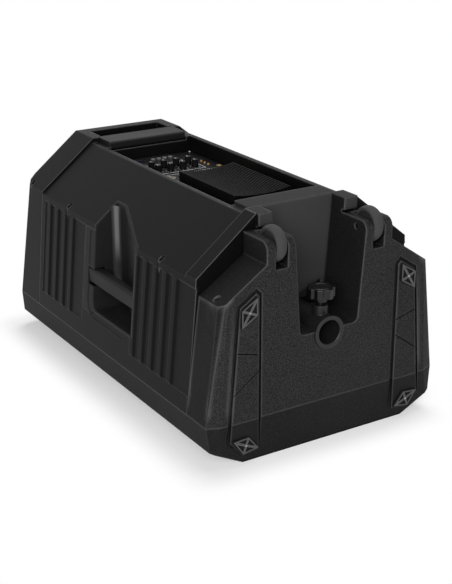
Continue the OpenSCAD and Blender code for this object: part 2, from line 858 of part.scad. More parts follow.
// All four corners' planes; the far ones lean with the top end
module corners(d) {
    both_sides() {
        corner_plane(hw, yn + corner_y, atan2(corner_y, corner_x), corner_lean, 0, d);
        corner_plane(hw, yn + corner_y, edge_angle, edge_lean, 0, d);
        mirror([0, 1, 0]) {
            corner_plane(hw, corner_y - yf + end_lean, atan2(corner_y, corner_x), corner_lean, -end_slope, d);
            corner_plane(hw, corner_y - yf + end_lean, edge_angle, far_edge_lean, -end_slope, d);
        }
    }
}
// The cabinet's volume, moved in by d from its outer faces
module volume(d) {
    difference() {
        intersection() {
            union() {
                along_y(step_y + d, yf) polygon(inset(main_outline, d));
                along_y(yn, yf) polygon(inset(low_outline, d));
            }
            along_x(-far_out, far_out) polygon(inset(end_outline, d));
        }
        corners(d);
    }
}
// Raised bands over both ends of the slopes, with the wheel guards
module bands() {
    intersection() {
        union() {
            along_y(step_y, step_y + near_band_l) polygon(band_outline);
            along_y(yf - far_band_l, yf) polygon(band_outline);
            box([-band_x, step_y - guard_l, guard_z], [band_x, step_y + near_band_l, top_z]);
            box([-ledge_x, channel_y - wall, rim_z - wall], [ledge_x, rec_y0, rim_z + land_rise]);
        }
        along_x(-far_out, far_out) polygon(end_outline);
    }
}
// The cabinet with its bands
module outside() {
    volume(0);
    difference() {
        bands();
        corners(0);
    }
}
// The pole channel's cross-section, with round lower corners
module channel_section(grow) {
    w0 = channel_w0 / 2 + grow;
    w1 = channel_w1 / 2 + grow;
    z0 = channel_z - grow;
    polygon([[-w0 + channel_r, z0], [w0 - channel_r, z0],
        for (a = [15:15:75]) [w0 - channel_r + channel_r * sin(a), z0 + channel_r * (1 - cos(a))],
        [w0, z0 + channel_r], [w1, top_z + eps], [-w1, top_z + eps], [-w0, z0 + channel_r],
        for (a = [75:-15:15]) [-w0 + channel_r - channel_r * sin(a), z0 + channel_r * (1 - cos(a))]]);
}
// The finger room behind the clamp knob
module undercut(grow) {
    w = channel_w0 / 2 - channel_r / 2 + grow;
    z0 = channel_z + wall - grow;
    z1 = channel_z + undercut_h + grow;
    along_y(channel_y - wall, channel_y + undercut_l + grow)
        polygon([[-w, z0], [w, z0], [w, z1], [0, z1 - undercut_point], [-w, z1]]);
}
// A wheel bracket on the +X side, with a round upper corner
module bracket() {
    along_x(channel_w0 / 2, bracket_x) {
        translate([yn, slot_z - bracket_foot])
            square([step_l + wall, bracket_z - bracket_r - slot_z + bracket_foot]);
        translate([yn + bracket_r, slot_z]) square([step_l - bracket_r + wall, bracket_z - slot_z]);
        translate([yn + bracket_r, bracket_z - bracket_r]) circle(bracket_r);
    }
}
// Outline of a foot rail on the +X side, and what stands behind it
rail_out = hw - rail_side;
rail_in = rail_out - rail_w;
rail_top = rail_out - rail_lean;
rail_outline = [[rail_in, rail_z0 + low_foot_drop], [rail_in + foot_w, rail_z0], [rail_out, rail_z0 + rail_rise],
    [rail_top, rail_z1 - rail_slant], [rail_in + foot_margin, rail_z1], [rail_in, rail_z1 - foot_margin]];
module rail() {
    along_y(yn - rail_t, yn + end_lean + wall) polygon(rail_outline);
    along_y(yn + moat_d, yn + moat_d + wall) polygon(inset(rail_outline, -moat_w));
}
// The groove round a rail and the two lines across it
module rail_cuts() {
    difference() {
        along_y(yn - rail_t, yn + moat_d) polygon(inset(rail_outline, -moat_w));
        along_y(yn - 2 * rail_t, yn + 2 * moat_d) polygon(rail_outline);
        box([0, yn - far_out, -wall], [hw, yn + far_out, rail_z0 + moat_low]);
    }
    along_y(yn - 2 * rail_t, yn - rail_t + line_w) {
        polygon([[rail_in, line_z1], [rail_out, line_z1 + line_rise1], [rail_out, line_z1 + line_rise1 + line_w],
            [rail_in, line_z1 + line_w]]);
        polygon([[rail_in, line_z0], [rail_out, line_z0 - line_drop0], [rail_out, line_z0 - line_drop0 + line_w],
            [rail_in, line_z0 + line_w]]);
    }
}
// Corners of the upper and lower foot on a rail
foot_x = rail_in + foot_margin;
foot_z = rail_z1 - foot_margin;
upper_foot = [[foot_x, foot_z - foot_h], [foot_x + foot_w, foot_z - foot_h - foot_slant],
    [foot_x + foot_w, foot_z - foot_slant], [foot_x, foot_z]];
low_foot_z = rail_z0 + 2 * low_foot_drop;
low_foot_x = rail_in + low_foot_drop / 2;
lower_foot = [[low_foot_x, low_foot_z], [low_foot_x + foot_w, low_foot_z - low_foot_drop],
    [low_foot_x + foot_w + low_foot_skew, low_foot_z + low_foot_h - low_foot_drop / 2],
    [low_foot_x + low_foot_skew, low_foot_z + low_foot_h]];
// Things drawn on the +X side face, with z measured from the seam
side_draft = atan(-side_lean);
rib_z0 = rib_low / cos(side_draft);
rib_z1 = (shoulder_z - seam_z - rib_high) / cos(side_draft);
module on_side_face() {
    translate([hw, 0, seam_z]) rotate([0, -side_draft, 0]) children();
}
// A sunk field for the ribs, from y0 to y1
module rib_field(y0, y1) {
    on_side_face() box([-field_d, y0, rib_z0], [wall, y1, rib_z1]);
}
// A row of n ribs, the first one at y, in direction e
module ribs(y, e, n) {
    on_side_face() for (i = [0:n - 1]) translate([-field_d, y + e * i * rib_pitch, rib_z0])
        linear_extrude(rib_z1 - rib_z0) polygon([[-field_d / 2, -rib_w / 2], [0, -rib_w / 2],
            [rib_h, rib_flank - rib_w / 2], [rib_h, rib_w / 2 - rib_flank], [0, rib_w / 2], [-field_d / 2, rib_w / 2]]);
}
// A screw's clearance: shank, head and the way in
module screw_way(p) {
    translate([p[0], p[1], seam_z - eps]) cylinder(r = screw_r + screw_gap, h = p[2] - seam_z + 2 * eps);
    translate([p[0], p[1], p[2]]) cylinder(r = head_r + screw_gap, h = top_z - p[2]);
}
// The +X side handle's envelope, grown by g
module cup_envelope(g) {
    along_z(scoop_z - cup_wall - g, top_z + wall) polygon(inset(scoop, -cup_wall - g));
    box([scoop_x, scoop_far - wall, frame_z0 - g], [hw + wall, scoop_far + frame_l + g, frame_z1 + g]);
}

// Where the shell's four mouldings meet: at the step, the far band, the rims and the ledge
module near_region() {
    box([-far_out, -far_out, 0], [far_out, step_y, far_out]);
    box([-band_x, -far_out, 0], [band_x, rec_y0, far_out]);
}
module far_region() {
    box([-far_out, yf - far_band_l, 0], [far_out, far_out, far_out]);
    box([-band_x, rec_y1, 0], [band_x, far_out, far_out]);
}
module ledge_region() {
    box([-rec_x, rec_y0, ledge_z - ledge_t], [rec_x, rec_y1, ledge_z]);
}

// Both sides and slopes
module rear_shell() {
    color("#2c2d2f") difference() {
        shell();
        near_region();
        far_region();
        ledge_region();
    }
}
// What of the shell lies in a region
module shell_in() {
    color("#2c2d2f") intersection() {
        shell();
        children();
    }
}
module bottom_end() {
    shell_in() near_region();
}
module top_end() {
    shell_in() far_region();
}
// The ledge under the amplifier's panel
module panel_ledge() {
    color("#2c2d2f") difference() {
        ledge_region();
        recess_cuts();
    }
}
// The recess, the opening inside its ledge and the panel's screw holes
module recess_cuts() {
    box([-rec_x, rec_y0, ledge_z], [rec_x, rec_y1, top_z + wall]);
    box([-ledge_x, rec_y0 + ledge_w, ledge_z - ledge_t - wall], [ledge_x, rec_y1 - ledge_w, rim_z]);
    holes(panel_screw_places, panel_screw_r + screw_gap / 2, ledge_z - ledge_t, ledge_t);
}
// The whole shell, with its ribs
module shell() {
    shell_body();
    both_sides() difference() {
        union() {
            ribs(scoop_y0 - cup_wall - rib_start, -1, rib_count);
            ribs(yf - field_far - rib_end, -1, far_rib_count);
        }
        cup_envelope(cup_fit);
        for (p = screw_places) screw_way(p);
    }
}
// The shell without its ribs
module shell_body() {
    difference() {
        union() {
            difference() {
                outside();
                volume(wall);
            }
            intersection() {
                outside();
                union() {
                    along_y(yn, channel_y + wall) channel_section(wall);
                    undercut(wall);
                    box([-rec_x - wall, rec_y0 - wall, ledge_z - ledge_t], [rec_x + wall, rec_y1 + wall, top_z]);
                    box([-grip_x - bar_seat - wall, bar_y0 - wall, finger_z - wall],
                        [grip_x + bar_seat + wall, grip_y1 + wall, top_z]);
                    for (p = screw_places) translate([p[0], p[1], 0])
                        cylinder(r = head_r + screw_gap + screw_wall, h = p[2] + screw_wall);
                }
            }
            both_sides() {
                bracket();
                rail();
            }
        }
        box([-far_out, -far_out, -wall], [far_out, far_out, seam_z]);
        along_y(yn - far_out, channel_y) channel_section(0);
        undercut(0);
        translate([0, yn - wall, pole_z]) rotate([-90, 0, 0])
            cylinder(r = socket_r + socket_fit, h = pole_l + socket_wall + 2 * wall);
        translate([0, clamp_y, pole_z]) cylinder(r = boss_r + socket_fit, h = boss_z - pole_z + wall);
        recess_cuts();
        box([-grip_x, bar_y0, finger_z], [grip_x, grip_y1, top_z + wall]);
        box([-grip_x - bar_seat, bar_y0 - wall - eps, bar_z], [grip_x + bar_seat, grip_y0, top_z + wall]);
        for (p = screw_places) screw_way(p);
        both_sides() {
            box([slot_x0, yn - wall, slot_z], [slot_x1, wheel_y + wheel_r + slot_gap, top_z + wall]);
            translate([0, wheel_y, wheel_z]) rotate([0, 90, 0]) cylinder(r = axle_r, h = slot_x1 + bracket_t / 2);
            cup_envelope(cup_fit);
            rail_cuts();
            rib_field(step_y - wall, scoop_y0);
            rib_field(scoop_far + frame_l + field_gap, yf - field_far);
        }
    }
}

module front_baffle() {
    color("#34363a") difference() {
        union() {
            intersection() {
                volume(0);
                box([-far_out, -far_out, 0], [far_out, far_out, seam_z]);
            }
            intersection() {
                both_sides() rail();
                box([-far_out, -far_out, 0], [far_out, far_out, seam_z]);
            }
        }
        difference() {
            intersection() {
                volume(wall);
                box([-far_out, -far_out, baffle_back], [far_out, far_out, seam_z + wall]);
            }
            for (p = screw_places) translate([p[0], p[1], 0])
                cylinder(r = head_r + screw_gap + screw_wall, h = seam_z);
        }
        both_sides() rail_cuts();
        box([-far_out, yn + end_t, -wall], [far_out, yf - end_t, bevel_z]);
        intersection() {
            box([-bevel_x + wall, yn + end_t, -wall], [bevel_x - wall, yf - end_t, baffle_z]);
            volume(wall);
        }
        translate([0, woofer_y, bevel_z]) cylinder(r = cutout_r, h = seam_z);
        box([-horn_w / 2 - horn_wall, horn_y - horn_l / 2 - horn_wall, bevel_z],
            [horn_w / 2 + horn_wall, horn_y + horn_l / 2 + horn_wall, seam_z]);
        for (s = [-1, 1]) translate([s * port_x, port_y, bevel_z]) cylinder(r = port_r + port_wall, h = seam_z);
        for (p = screw_places) translate([p[0], p[1], baffle_z + screw_end]) cylinder(r = screw_r, h = seam_z);
        for (a = [0:45:315]) translate([0, woofer_y, bevel_z]) rotate(a + 22.5)
            translate([woofer_screw_pcr, 0, 0]) cylinder(r = panel_screw_r, h = seam_z);
    }
}

// A folded sheet over the flat front and both bevels, with rows of slots
module front_grille() {
    y0 = yn + end_t + grille_gap;
    y1 = yf - end_t - grille_gap;
    sheet = [[-front_x, 0], [front_x, 0], [bevel_x, bevel_z], [-bevel_x, bevel_z]];
    rows = floor((y1 - y0 - 2 * slot_pitch) / slot_pitch);
    first = (y0 + y1 - rows * slot_pitch) / 2;
    color("#1d1d1f") difference() {
        along_y(y0, y1) difference() {
            polygon([for (p = inset(sheet, grille_gap)) [p[0], p[1] > bevel_z / 2 ? bevel_z : p[1]]]);
            polygon([for (p = inset(sheet, grille_gap + grille_t)) [p[0], p[1] > bevel_z / 2 ? bevel_z + wall : p[1]]]);
        }
        both_sides() for (i = [0:rows]) translate([0, first + i * slot_pitch, 0])
            box([grille_bar / 2, -slot_open / 2, -wall], [front_x - grille_edge, slot_open / 2, 2 * wall]);
    }
}

module shell_screws() {
    color("#1a1a1a") for (p = screw_places) translate([p[0], p[1], 0]) {
        translate([0, 0, baffle_z + screw_end]) cylinder(r = screw_r, h = p[2] - baffle_z - screw_end + eps);
        difference() {
            translate([0, 0, p[2]]) cylinder(r = head_r, h = head_h);
            translate([0, 0, p[2] + head_h / 2]) cylinder(r = head_r / 2, h = head_h, $fn = 6);
        }
    }
}

module top_handle_bar() {
    color("#3a3b3d") along_x(-grip_x - bar_seat, grip_x + bar_seat)
        translate([bar_y0 + bar_l / 2, bar_z + bar_t / 2]) rounded(bar_l, bar_t, bar_r);
}

// A handle cup in the side and the slope, with the frame beside it
module side_cup(s) {
    color("#303134") on_side(s) difference() {
        intersection() {
            union() {
                along_z(scoop_z - cup_wall, top_z) polygon(inset(scoop, -cup_wall));
                difference() {
                    box([scoop_x, scoop_far, frame_z0], [hw + wall, scoop_far + frame_l, frame_z1]);
                    volume(wall);
                }
            }
            volume(0);
        }
        intersection() {
            along_z(scoop_z, top_z + wall) polygon(scoop);
            along_x(0, hw + 2 * wall) translate([scoop_y0, scoop_z + top_z]) rounded(2 * scoop_l, 2 * top_z, scoop_r);
        }
        box([hold_x - hold_w / 2 - tab_gap, scoop_far - wall, hold_z - hold_h / 2 - tab_gap],
            [hw + wall, scoop_far + tab_l + tab_gap, hold_z + hold_h / 2 + tab_gap]);
    }
}

// A grip across each cup, with a tab in the frame
module side_grips() {
    color("#38393c") both_sides() intersection() {
        along_y(scoop_y0 - wall, scoop_far + tab_l) translate([hold_x, hold_z]) rounded(hold_w, hold_h, hold_r);
        along_z(scoop_z, top_z) {
            polygon(scoop);
            translate([scoop_x, scoop_far - wall]) square([hw, 2 * wall + tab_l]);
        }
    }
}

module wheel_hub(s) {
    r = wheel_r - tyre_t;
    half = wheel_w / 2 - hub_in;
    color("#3c3c3e") on_side(s) translate([wheel_x, wheel_y, wheel_z]) rotate([0, 90, 0])
        difference() {
            cylinder(r = r, h = 2 * half, center = true);
            cylinder(r = axle_r + axle_fit, h = wheel_w, center = true);
            for (e = [-1, 1]) translate([0, 0, e * half]) difference() {
                cylinder(r = r - hub_ring, h = 2 * hub_dish, center = true);
                cylinder(r = axle_r + hub_wall, h = wheel_w, center = true);
            }
        }
}

// A tyre with a rounded tread
module wheel_tyre(s) {
    color("#8a8b8c") on_side(s) translate([wheel_x, wheel_y, wheel_z]) rotate([0, 90, 0])
        rotate_extrude() intersection() {
            translate([wheel_r - tyre_t, -wheel_w / 2]) square([tyre_t, wheel_w]);
            translate([wheel_r - tread_r, 0]) circle(tread_r);
        }
}

module wheel_axles() {
    color("#9a9da0") both_sides() translate([slot_x0 - bracket_t / 2, wheel_y, wheel_z]) rotate([0, 90, 0])
        cylinder(r = axle_r, h = slot_x1 - slot_x0 + bracket_t);
}

// Four rubber feet, each with a crossed relief
module rubber_feet() {
    color("#6c6d6e") for (s = [-1, 1], foot = [upper_foot, lower_foot]) on_side(s) {
        mid = (foot[0] + foot[1] + foot[2] + foot[3]) / 4;
        difference() {
            along_y(yn - rail_t - pad_t, yn - rail_t) polygon(foot);
            for (i = [0:3]) along_y(yn - rail_t - 2 * pad_t, yn - rail_t - pad_t + foot_relief)
                polygon(inset([mid, foot[i], foot[(i + 1) % 4]], foot_bar));
        }
    }
}

// A blind socket along Y with a boss for the clamp
module pole_socket() {
    color("#202123") difference() {
        union() {
            translate([0, yn - socket_lip, pole_z]) rotate([-90, 0, 0])
                cylinder(r = socket_r, h = pole_l + socket_lip + socket_wall);
            translate([0, yn - socket_lip, pole_z]) rotate([-90, 0, 0]) cylinder(r = socket_r + socket_lip, h = socket_lip);
            translate([0, clamp_y, pole_z]) cylinder(r = boss_r, h = boss_z - pole_z);
        }
        translate([0, yn - socket_lip - eps, pole_z]) rotate([-90, 0, 0])
            cylinder(r = pole_r, h = pole_l + socket_lip);
        translate([0, yn - socket_lip - eps, pole_z]) rotate([-90, 0, 0])
            cylinder(r1 = pole_r + lead_in, r2 = pole_r, h = lead_in);
        translate([0, clamp_y, pole_z]) cylinder(r = pad_r + pad_fit, h = guide_z + clamp_travel - pole_z);
        translate([0, clamp_y, guide_z]) cylinder(r = insert_r, h = boss_z - guide_z + over);
    }
}

module clamp_insert() {
    color("#a8925a") translate([0, clamp_y, boss_z - insert_h]) difference() {
        cylinder(r = insert_r, h = insert_h);
        translate([0, 0, -over]) cylinder(r = stud_r + stud_fit, h = insert_h + 2 * over);
    }
}

// Scalloped knob on a stud whose tip stands on the clamp pad
module clamp_screw() {
    tip_z = pad_z + clamp_pad_t;
    color("#151516") {
        translate([0, clamp_y, tip_z]) cylinder(r = stud_r, h = clamp_knob_z - tip_z + eps);
        translate([0, clamp_y, clamp_knob_z]) difference() {
            union() {
                cylinder(r = neck_r, h = clamp_knob_h);
                translate([0, 0, neck_h]) cylinder(r = clamp_knob_r, h = clamp_knob_h - neck_h);
            }
            for (i = [0:scallop_count - 1]) rotate(i * 360 / scallop_count)
                translate([clamp_knob_r + scallop_r - scallop_d, 0, -over])
                    cylinder(r = scallop_r, h = clamp_knob_h + 2 * over);
        }
    }
}

module clamp_pad() {
    color("#4a4a4a") translate([0, clamp_y, pad_z]) cylinder(r = pad_r, h = clamp_pad_t - tip_gap);
}

module amp_panel() {
    color("#3b3d40") difference() {
        box([-rec_x + panel_gap, rec_y0 + panel_gap, panel_under], [rec_x - panel_gap, rec_y1 - panel_gap, panel_z]);
        holes(knob_places, shaft_r + shaft_fit + bushing_t + hole_gap, panel_under, panel_t);
        holes(jack_places, jack_r + hole_gap, panel_under, panel_t);
        holes(phono_places, phono_r + hole_gap, panel_under, panel_t);
        holes(button_places, button_r + hole_gap, panel_under, panel_t);
        holes(panel_screw_places, panel_screw_r + screw_gap, panel_under, panel_t);
        translate([-mains_x, inlet_y, panel_z]) cube([inlet_w + 2 * hole_gap, inlet_l + 2 * hole_gap, 3 * panel_t], center = true);
        translate([-mains_x, switch_y, panel_z])
            cube([switch_w + 2 * switch_wall, switch_l + 2 * switch_wall, 3 * panel_t], center = true);
    }
}

module panel_gasket() {
    color("#111111") difference() {
        box([-rec_x + panel_gap, rec_y0 + panel_gap, ledge_z], [rec_x - panel_gap, rec_y1 - panel_gap, panel_under]);
        box([-ledge_x, rec_y0 + ledge_w, ledge_z - over], [ledge_x, rec_y1 - ledge_w, panel_under + over]);
        holes(panel_screw_places, panel_screw_r + screw_gap, ledge_z, gasket_t);
    }
}

module panel_screws() {
    color("#b4b6b8") for (p = panel_screw_places) translate([p[0], p[1], 0]) {
        translate([0, 0, ledge_z - ledge_t]) cylinder(r = panel_screw_r, h = panel_z - ledge_z + ledge_t + eps);
        translate([0, 0, panel_z]) cylinder(r = panel_screw_r + panel_head, h = panel_head_h);
    }
}

// Straight fins along the length, lower towards the middle
module heat_sink() {
    pitch = (sink_w - fin_t) / (fin_count - 1);
    color("#17181a") {
        box([-sink_w / 2, sink_y, panel_z], [sink_w / 2, sink_y + sink_l, panel_z + sink_base]);
        for (i = [0:fin_count - 1]) {
            x = -sink_w / 2 + i * pitch;
            u = 2 * i / (fin_count - 1) - 1;
            box([x, sink_y, panel_z], [x + fin_t, sink_y + sink_l, rim_z - fin_drop - fin_sag * (1 - u * u)]);
        }
    }
}

// Eight rotary controls under the panel, each with a bushing through it
module pot_block() {
    color("#7d8084") for (p = knob_places) translate([p[0], p[1], 0]) difference() {
        union() {
            box([-pot_w / 2, -pot_w / 2, board_z], [pot_w / 2, pot_w / 2, panel_under]);
            translate([0, 0, board_z]) cylinder(r = shaft_r + shaft_fit + bushing_t, h = board_drop + panel_t + bushing_h);
        }
        translate([0, 0, board_z + pot_floor]) cylinder(r = shaft_r + shaft_fit, h = board_drop + panel_t + bushing_h);
    }
}

// A knob with its shaft, a pointer groove and a hollow over the bushing
module knob(i) {
    p = knob_places[i - 1];
    z0 = panel_z + knob_gap;
    low = board_z + pot_floor + knob_gap;
    color("#1b1b1c") translate([p[0], p[1], 0]) {
        translate([0, 0, low]) cylinder(r = shaft_r, h = z0 + knob_h - pointer_d - low);
        difference() {
            translate([0, 0, z0]) cylinder(r = knob_r, h = knob_h);
            translate([0, 0, z0 - over]) cylinder(r = shaft_r + shaft_fit + bushing_t + knob_gap, h = over + bushing_h);
            box([-pointer_w / 2, pointer_w, z0 + knob_h - pointer_d], [pointer_w / 2, 2 * knob_r, z0 + 2 * knob_h]);
        }
    }
}

module amp_board() {
    color("#2f5a3a") box([-ledge_x + board_margin, jack_y - jack_r - board_margin, board_z - board_t],
        [ledge_x - board_margin, rec_y1 - ledge_w - board_margin, board_z]);
}

// A boxed supply under the panel, with three capacitors
module power_supply() {
    color("#8f9294") {
        box([-supply_w / 2, sink_y, panel_under - supply_h], [supply_w / 2, sink_y + supply_l, panel_under]);
        for (i = [-1:1]) translate([i * capacitor_pitch, sink_y + supply_l / 2, panel_under - supply_h - capacitor_h])
            cylinder(r = capacitor_r, h = capacitor_h + over);
    }
}

// Three locking sockets, each a body with a rim and a bore
module input_jacks() {
    color("#222324") for (p = jack_places) translate([p[0], p[1], 0]) difference() {
        union() {
            translate([0, 0, board_z]) cylinder(r = jack_r, h = panel_z + jack_rim - board_z);
            translate([0, 0, panel_z]) cylinder(r = jack_r + jack_lip, h = jack_rim);
        }
        translate([0, 0, board_z + jack_floor]) cylinder(r = jack_bore_r, h = board_drop + panel_t + jack_rim);
    }
}

module phono_jacks() {
    color("#b9a25c") for (p = phono_places) translate([p[0], p[1], 0]) difference() {
        union() {
            translate([0, 0, board_z]) cylinder(r = phono_r, h = panel_z - board_z + phono_h);
            translate([0, 0, panel_z]) cylinder(r = phono_r + jack_lip, h = jack_rim);
        }
        translate([0, 0, panel_z + phono_h - phono_d]) cylinder(r = phono_bore_r, h = phono_d + over);
    }
}

module media_plate() {
    color("#19191b") translate([0, 0, panel_z]) difference() {
        translate([media_x, media_y, 0]) linear_extrude(media_t) rounded(media_w, media_l, media_r);
        holes(button_places, button_r + hole_gap, 0, media_t);
        translate([window_x, media_y, media_t]) cube([window_w, window_l, 2 * window_t], center = true);
    }
}

module display_window() {
    color("#2a3a48") translate([window_x, media_y, media_z - window_t / 2])
        cube([window_w - 2 * hole_gap, window_l - 2 * hole_gap, window_t], center = true);
}

// A push button guided by the plate, with a collar under the panel
module media_button(i) {
    p = button_places[i - 1];
    color("#555657") translate([p[0], p[1], 0]) {
        translate([0, 0, panel_under - collar_h]) cylinder(r = button_r, h = media_z + button_h - panel_under + collar_h);
        translate([0, 0, panel_under - collar_h]) cylinder(r = button_r + collar_w, h = collar_h - hole_gap);
    }
}

// A three-pole inlet with a flange on the panel
module power_inlet() {
    w = inlet_w / 2;
    l = inlet_l / 2;
    color("#121213") translate([-mains_x, inlet_y, 0]) difference() {
        union() {
            box([-w, -l, panel_z - inlet_d], [w, l, panel_z + inlet_rim]);
            box([-w - inlet_flange, -l - inlet_flange, panel_z], [w + inlet_flange, l + inlet_flange, panel_z + inlet_rim]);
        }
        difference() {
            box([inlet_wall - w, inlet_wall - l, panel_z - inlet_open], [w - inlet_wall, l - inlet_wall, panel_z + 2 * inlet_rim]);
            for (i = [-1:1]) translate([i == 0 ? contact_w / 2 : -contact_w / 2, i * contact_pitch, 0])
                box([-contact_w / 2, -contact_t / 2, panel_z - inlet_d], [contact_w / 2, contact_t / 2, panel_z - inlet_rim]);
        }
    }
}

// A frame for the rocker, with bearings for its pivot
module switch_frame() {
    w = switch_w / 2;
    l = switch_l / 2;
    color("#121213") translate([-mains_x, switch_y, 0]) difference() {
        box([-w - switch_wall, -l - switch_wall, panel_z - switch_d], [w + switch_wall, l + switch_wall, panel_z + switch_rim]);
        box([-w, -l, panel_z - switch_d + switch_wall], [w, l, panel_z + 2 * switch_rim]);
        translate([0, 0, panel_z - pivot_d]) rotate([0, 90, 0])
            cylinder(r = pivot_r + axle_fit, h = switch_w + switch_wall, center = true);
    }
}

// A rocker with its pivot pins, tipped to its off position
module power_rocker() {
    w = switch_w / 2 - rocker_gap;
    r = switch_l / 2 - rocker_gap;
    color("#2a2a2b") translate([-mains_x, switch_y, panel_z - pivot_d]) rotate([rocker_tilt, 0, 0]) {
        rotate([0, 90, 0]) cylinder(r = pivot_r, h = switch_w + switch_wall - rocker_gap, center = true);
        along_x(-w, w) intersection() {
            circle(r);
            translate([-r, -rocker_d]) square([2 * r, rocker_d + rocker_h]);
        }
    }
}

// A ring flange on the baffle, a drum with six windows and a rear ring
module woofer_basket() {
    neck = coil_r + coil_gap + basket_t;
    color("#1f2022") translate([0, woofer_y, 0]) difference() {
        rotate_extrude($fn = 96) polygon([[land_r, baffle_z - flange_t], [woofer_r, baffle_z - flange_t],
            [woofer_r, baffle_z], [basket_r, baffle_z], [basket_r, baffle_z + basket_t], [magnet_r, basket_z],
            [neck, basket_z], [neck, basket_z - basket_t], [magnet_r - basket_t, basket_z - basket_t],
            [basket_r - 2 * basket_t, baffle_z + basket_t], [land_r, baffle_z]]);
        for (a = [0:60:300]) rotate(a) translate([(basket_r + magnet_r) / 2, 0, baffle_z + basket_h / 2])
            cube([basket_r - magnet_r, basket_window, basket_h - 2 * basket_band], center = true);
        for (a = [0:45:315]) rotate(a + 22.5) translate([woofer_screw_pcr, 0, baffle_z - 2 * flange_t])
            cylinder(r = panel_screw_r + screw_gap, h = 3 * flange_t);
    }
}

// A ring magnet and plates with a gap for the voice coil
module woofer_magnet() {
    color("#55575a") translate([0, woofer_y, basket_z]) difference() {
        cylinder(r = magnet_r, h = magnet_h);
        difference() {
            translate([0, 0, -over]) cylinder(r = coil_r + coil_gap, h = magnet_h - plate_t + over);
            translate([0, 0, -2 * over]) cylinder(r = coil_r - coil_t - coil_gap, h = magnet_h);
        }
    }
}

module woofer_cone() {
    color("#26262a") translate([0, woofer_y, 0]) rotate_extrude($fn = 96)
        polygon([[cone_r, cone_z], [cone_r, cone_z + cone_t], [coil_r, coil_z + cone_t], [coil_r, coil_z]]);
}

// A half-roll between the cone's edge and the basket's landing
module woofer_surround() {
    inner = cone_r + soft_gap;
    roll = (land_r - inner) / 2;
    color("#141415") translate([0, woofer_y, cone_z]) rotate_extrude($fn = 96) intersection() {
        translate([inner + roll, 0]) difference() {
            circle(roll);
            circle(roll - soft_t);
        }
        translate([inner, -2 * roll]) square([2 * roll, 2 * roll]);
    }
}

// A corrugated disc from the voice coil to the basket's drum
module woofer_spider() {
    inner = coil_r + soft_gap;
    taper = (basket_r - basket_t - magnet_r) / (basket_h - 2 * basket_t);
    outer = magnet_r - basket_t + (spider_drop - basket_t - soft_t) * taper - soft_gap;
    waves = 4;
    points = [for (i = [0:4 * waves]) [inner + (outer - inner) * i / (4 * waves), spider_wave * sin(i * 90)]];
    color("#b58a4a") translate([0, woofer_y, spider_z]) rotate_extrude($fn = 96)
        polygon(concat(points, [for (i = [4 * waves:-1:0]) points[i] + [0, soft_t]]));
}

module voice_coil() {
    color("#b87333") translate([0, woofer_y, coil_z]) difference() {
        cylinder(r = coil_r, h = basket_z + coil_in - coil_z);
        translate([0, 0, -over]) cylinder(r = coil_r - coil_t, h = basket_h);
    }
}

// A shallow dome that closes the voice coil's front
module dust_cap() {
    edge = coil_r - coil_t;
    dome = (edge * edge + cap_d * cap_d) / (2 * cap_d);
    steps = 12;
    arc = [for (i = [0:steps]) let (a = asin(edge / dome) * i / steps) [dome * sin(a), dome - cap_d - dome * cos(a)]];
    color("#18181a") translate([0, woofer_y, coil_z]) rotate_extrude($fn = 96)
        polygon(concat(arc, [for (i = [steps:-1:0]) arc[i] + [0, soft_t]]));
}

module woofer_screws() {
    color("#2a2a2a") for (a = [0:45:315]) translate([0, woofer_y, 0]) rotate(a + 22.5)
        translate([woofer_screw_pcr, 0, 0]) {
            translate([0, 0, baffle_z - flange_t - eps]) cylinder(r = panel_screw_r, h = flange_t + baffle_t);
            translate([0, 0, baffle_z - flange_t - panel_head_h]) cylinder(r = panel_screw_r + panel_head, h = panel_head_h);
        }
}

// A flare from a rectangular mouth to a round throat
module horn_flare() {
    z1 = baffle_z + horn_h;
    color("#1c1c1e") translate([0, horn_y, 0]) difference() {
        union() {
            box([-horn_w / 2 - horn_flange, -horn_l / 2 - horn_flange, baffle_z - flange_t],
                [horn_w / 2 + horn_flange, horn_l / 2 + horn_flange, baffle_z]);
            hull() {
                box([-horn_w / 2 - horn_wall + eps, -horn_l / 2 - horn_wall + eps, baffle_z - over],
                    [horn_w / 2 + horn_wall - eps, horn_l / 2 + horn_wall - eps, baffle_z + over]);
                translate([0, 0, z1 - over]) cylinder(r = throat_r + horn_wall, h = over, $fn = 32);
            }
        }
        hull() {
            box([-horn_w / 2, -horn_l / 2, baffle_z - flange_t - 2 * over], [horn_w / 2, horn_l / 2, baffle_z - flange_t]);
            translate([0, 0, z1 - over]) cylinder(r = throat_r, h = 2 * over, $fn = 32);
        }
    }
}

module compression_driver() {
    body = driver_h - driver_cap_h;
    color("#3a3c3f") translate([0, horn_y, baffle_z + horn_h]) difference() {
        union() {
            cylinder(r = driver_r, h = body);
            translate([0, 0, body - over]) cylinder(r = driver_cap_r, h = driver_cap_h + over);
        }
        translate([0, 0, -over]) cylinder(r = throat_r, h = driver_throat + over);
    }
}

// Two port tubes through the baffle, with flanges
module port_tubes() {
    color("#1c1c1e") for (s = [-1, 1]) translate([s * port_x, port_y, baffle_z - port_flange]) difference() {
        union() {
            cylinder(r = port_r + port_wall, h = port_l);
            cylinder(r = port_r + port_wall + port_lip, h = port_flange);
        }
        translate([0, 0, -over]) cylinder(r = port_r, h = port_l + 2 * over);
    }
}

// A board with three coils on the baffle's inner face, below the woofer
module crossover_board() {
    y = woofer_y - cutout_r - cross_gap - cross_l / 2;
    color("#6b5a34") translate([0, y, baffle_back]) {
        box([-cross_w / 2, -cross_l / 2, 0], [cross_w / 2, cross_l / 2, board_t]);
        for (i = [-1:1]) translate([i * inductor_pitch, 0, 0]) cylinder(r = inductor_r, h = board_t + inductor_h);
    }
}

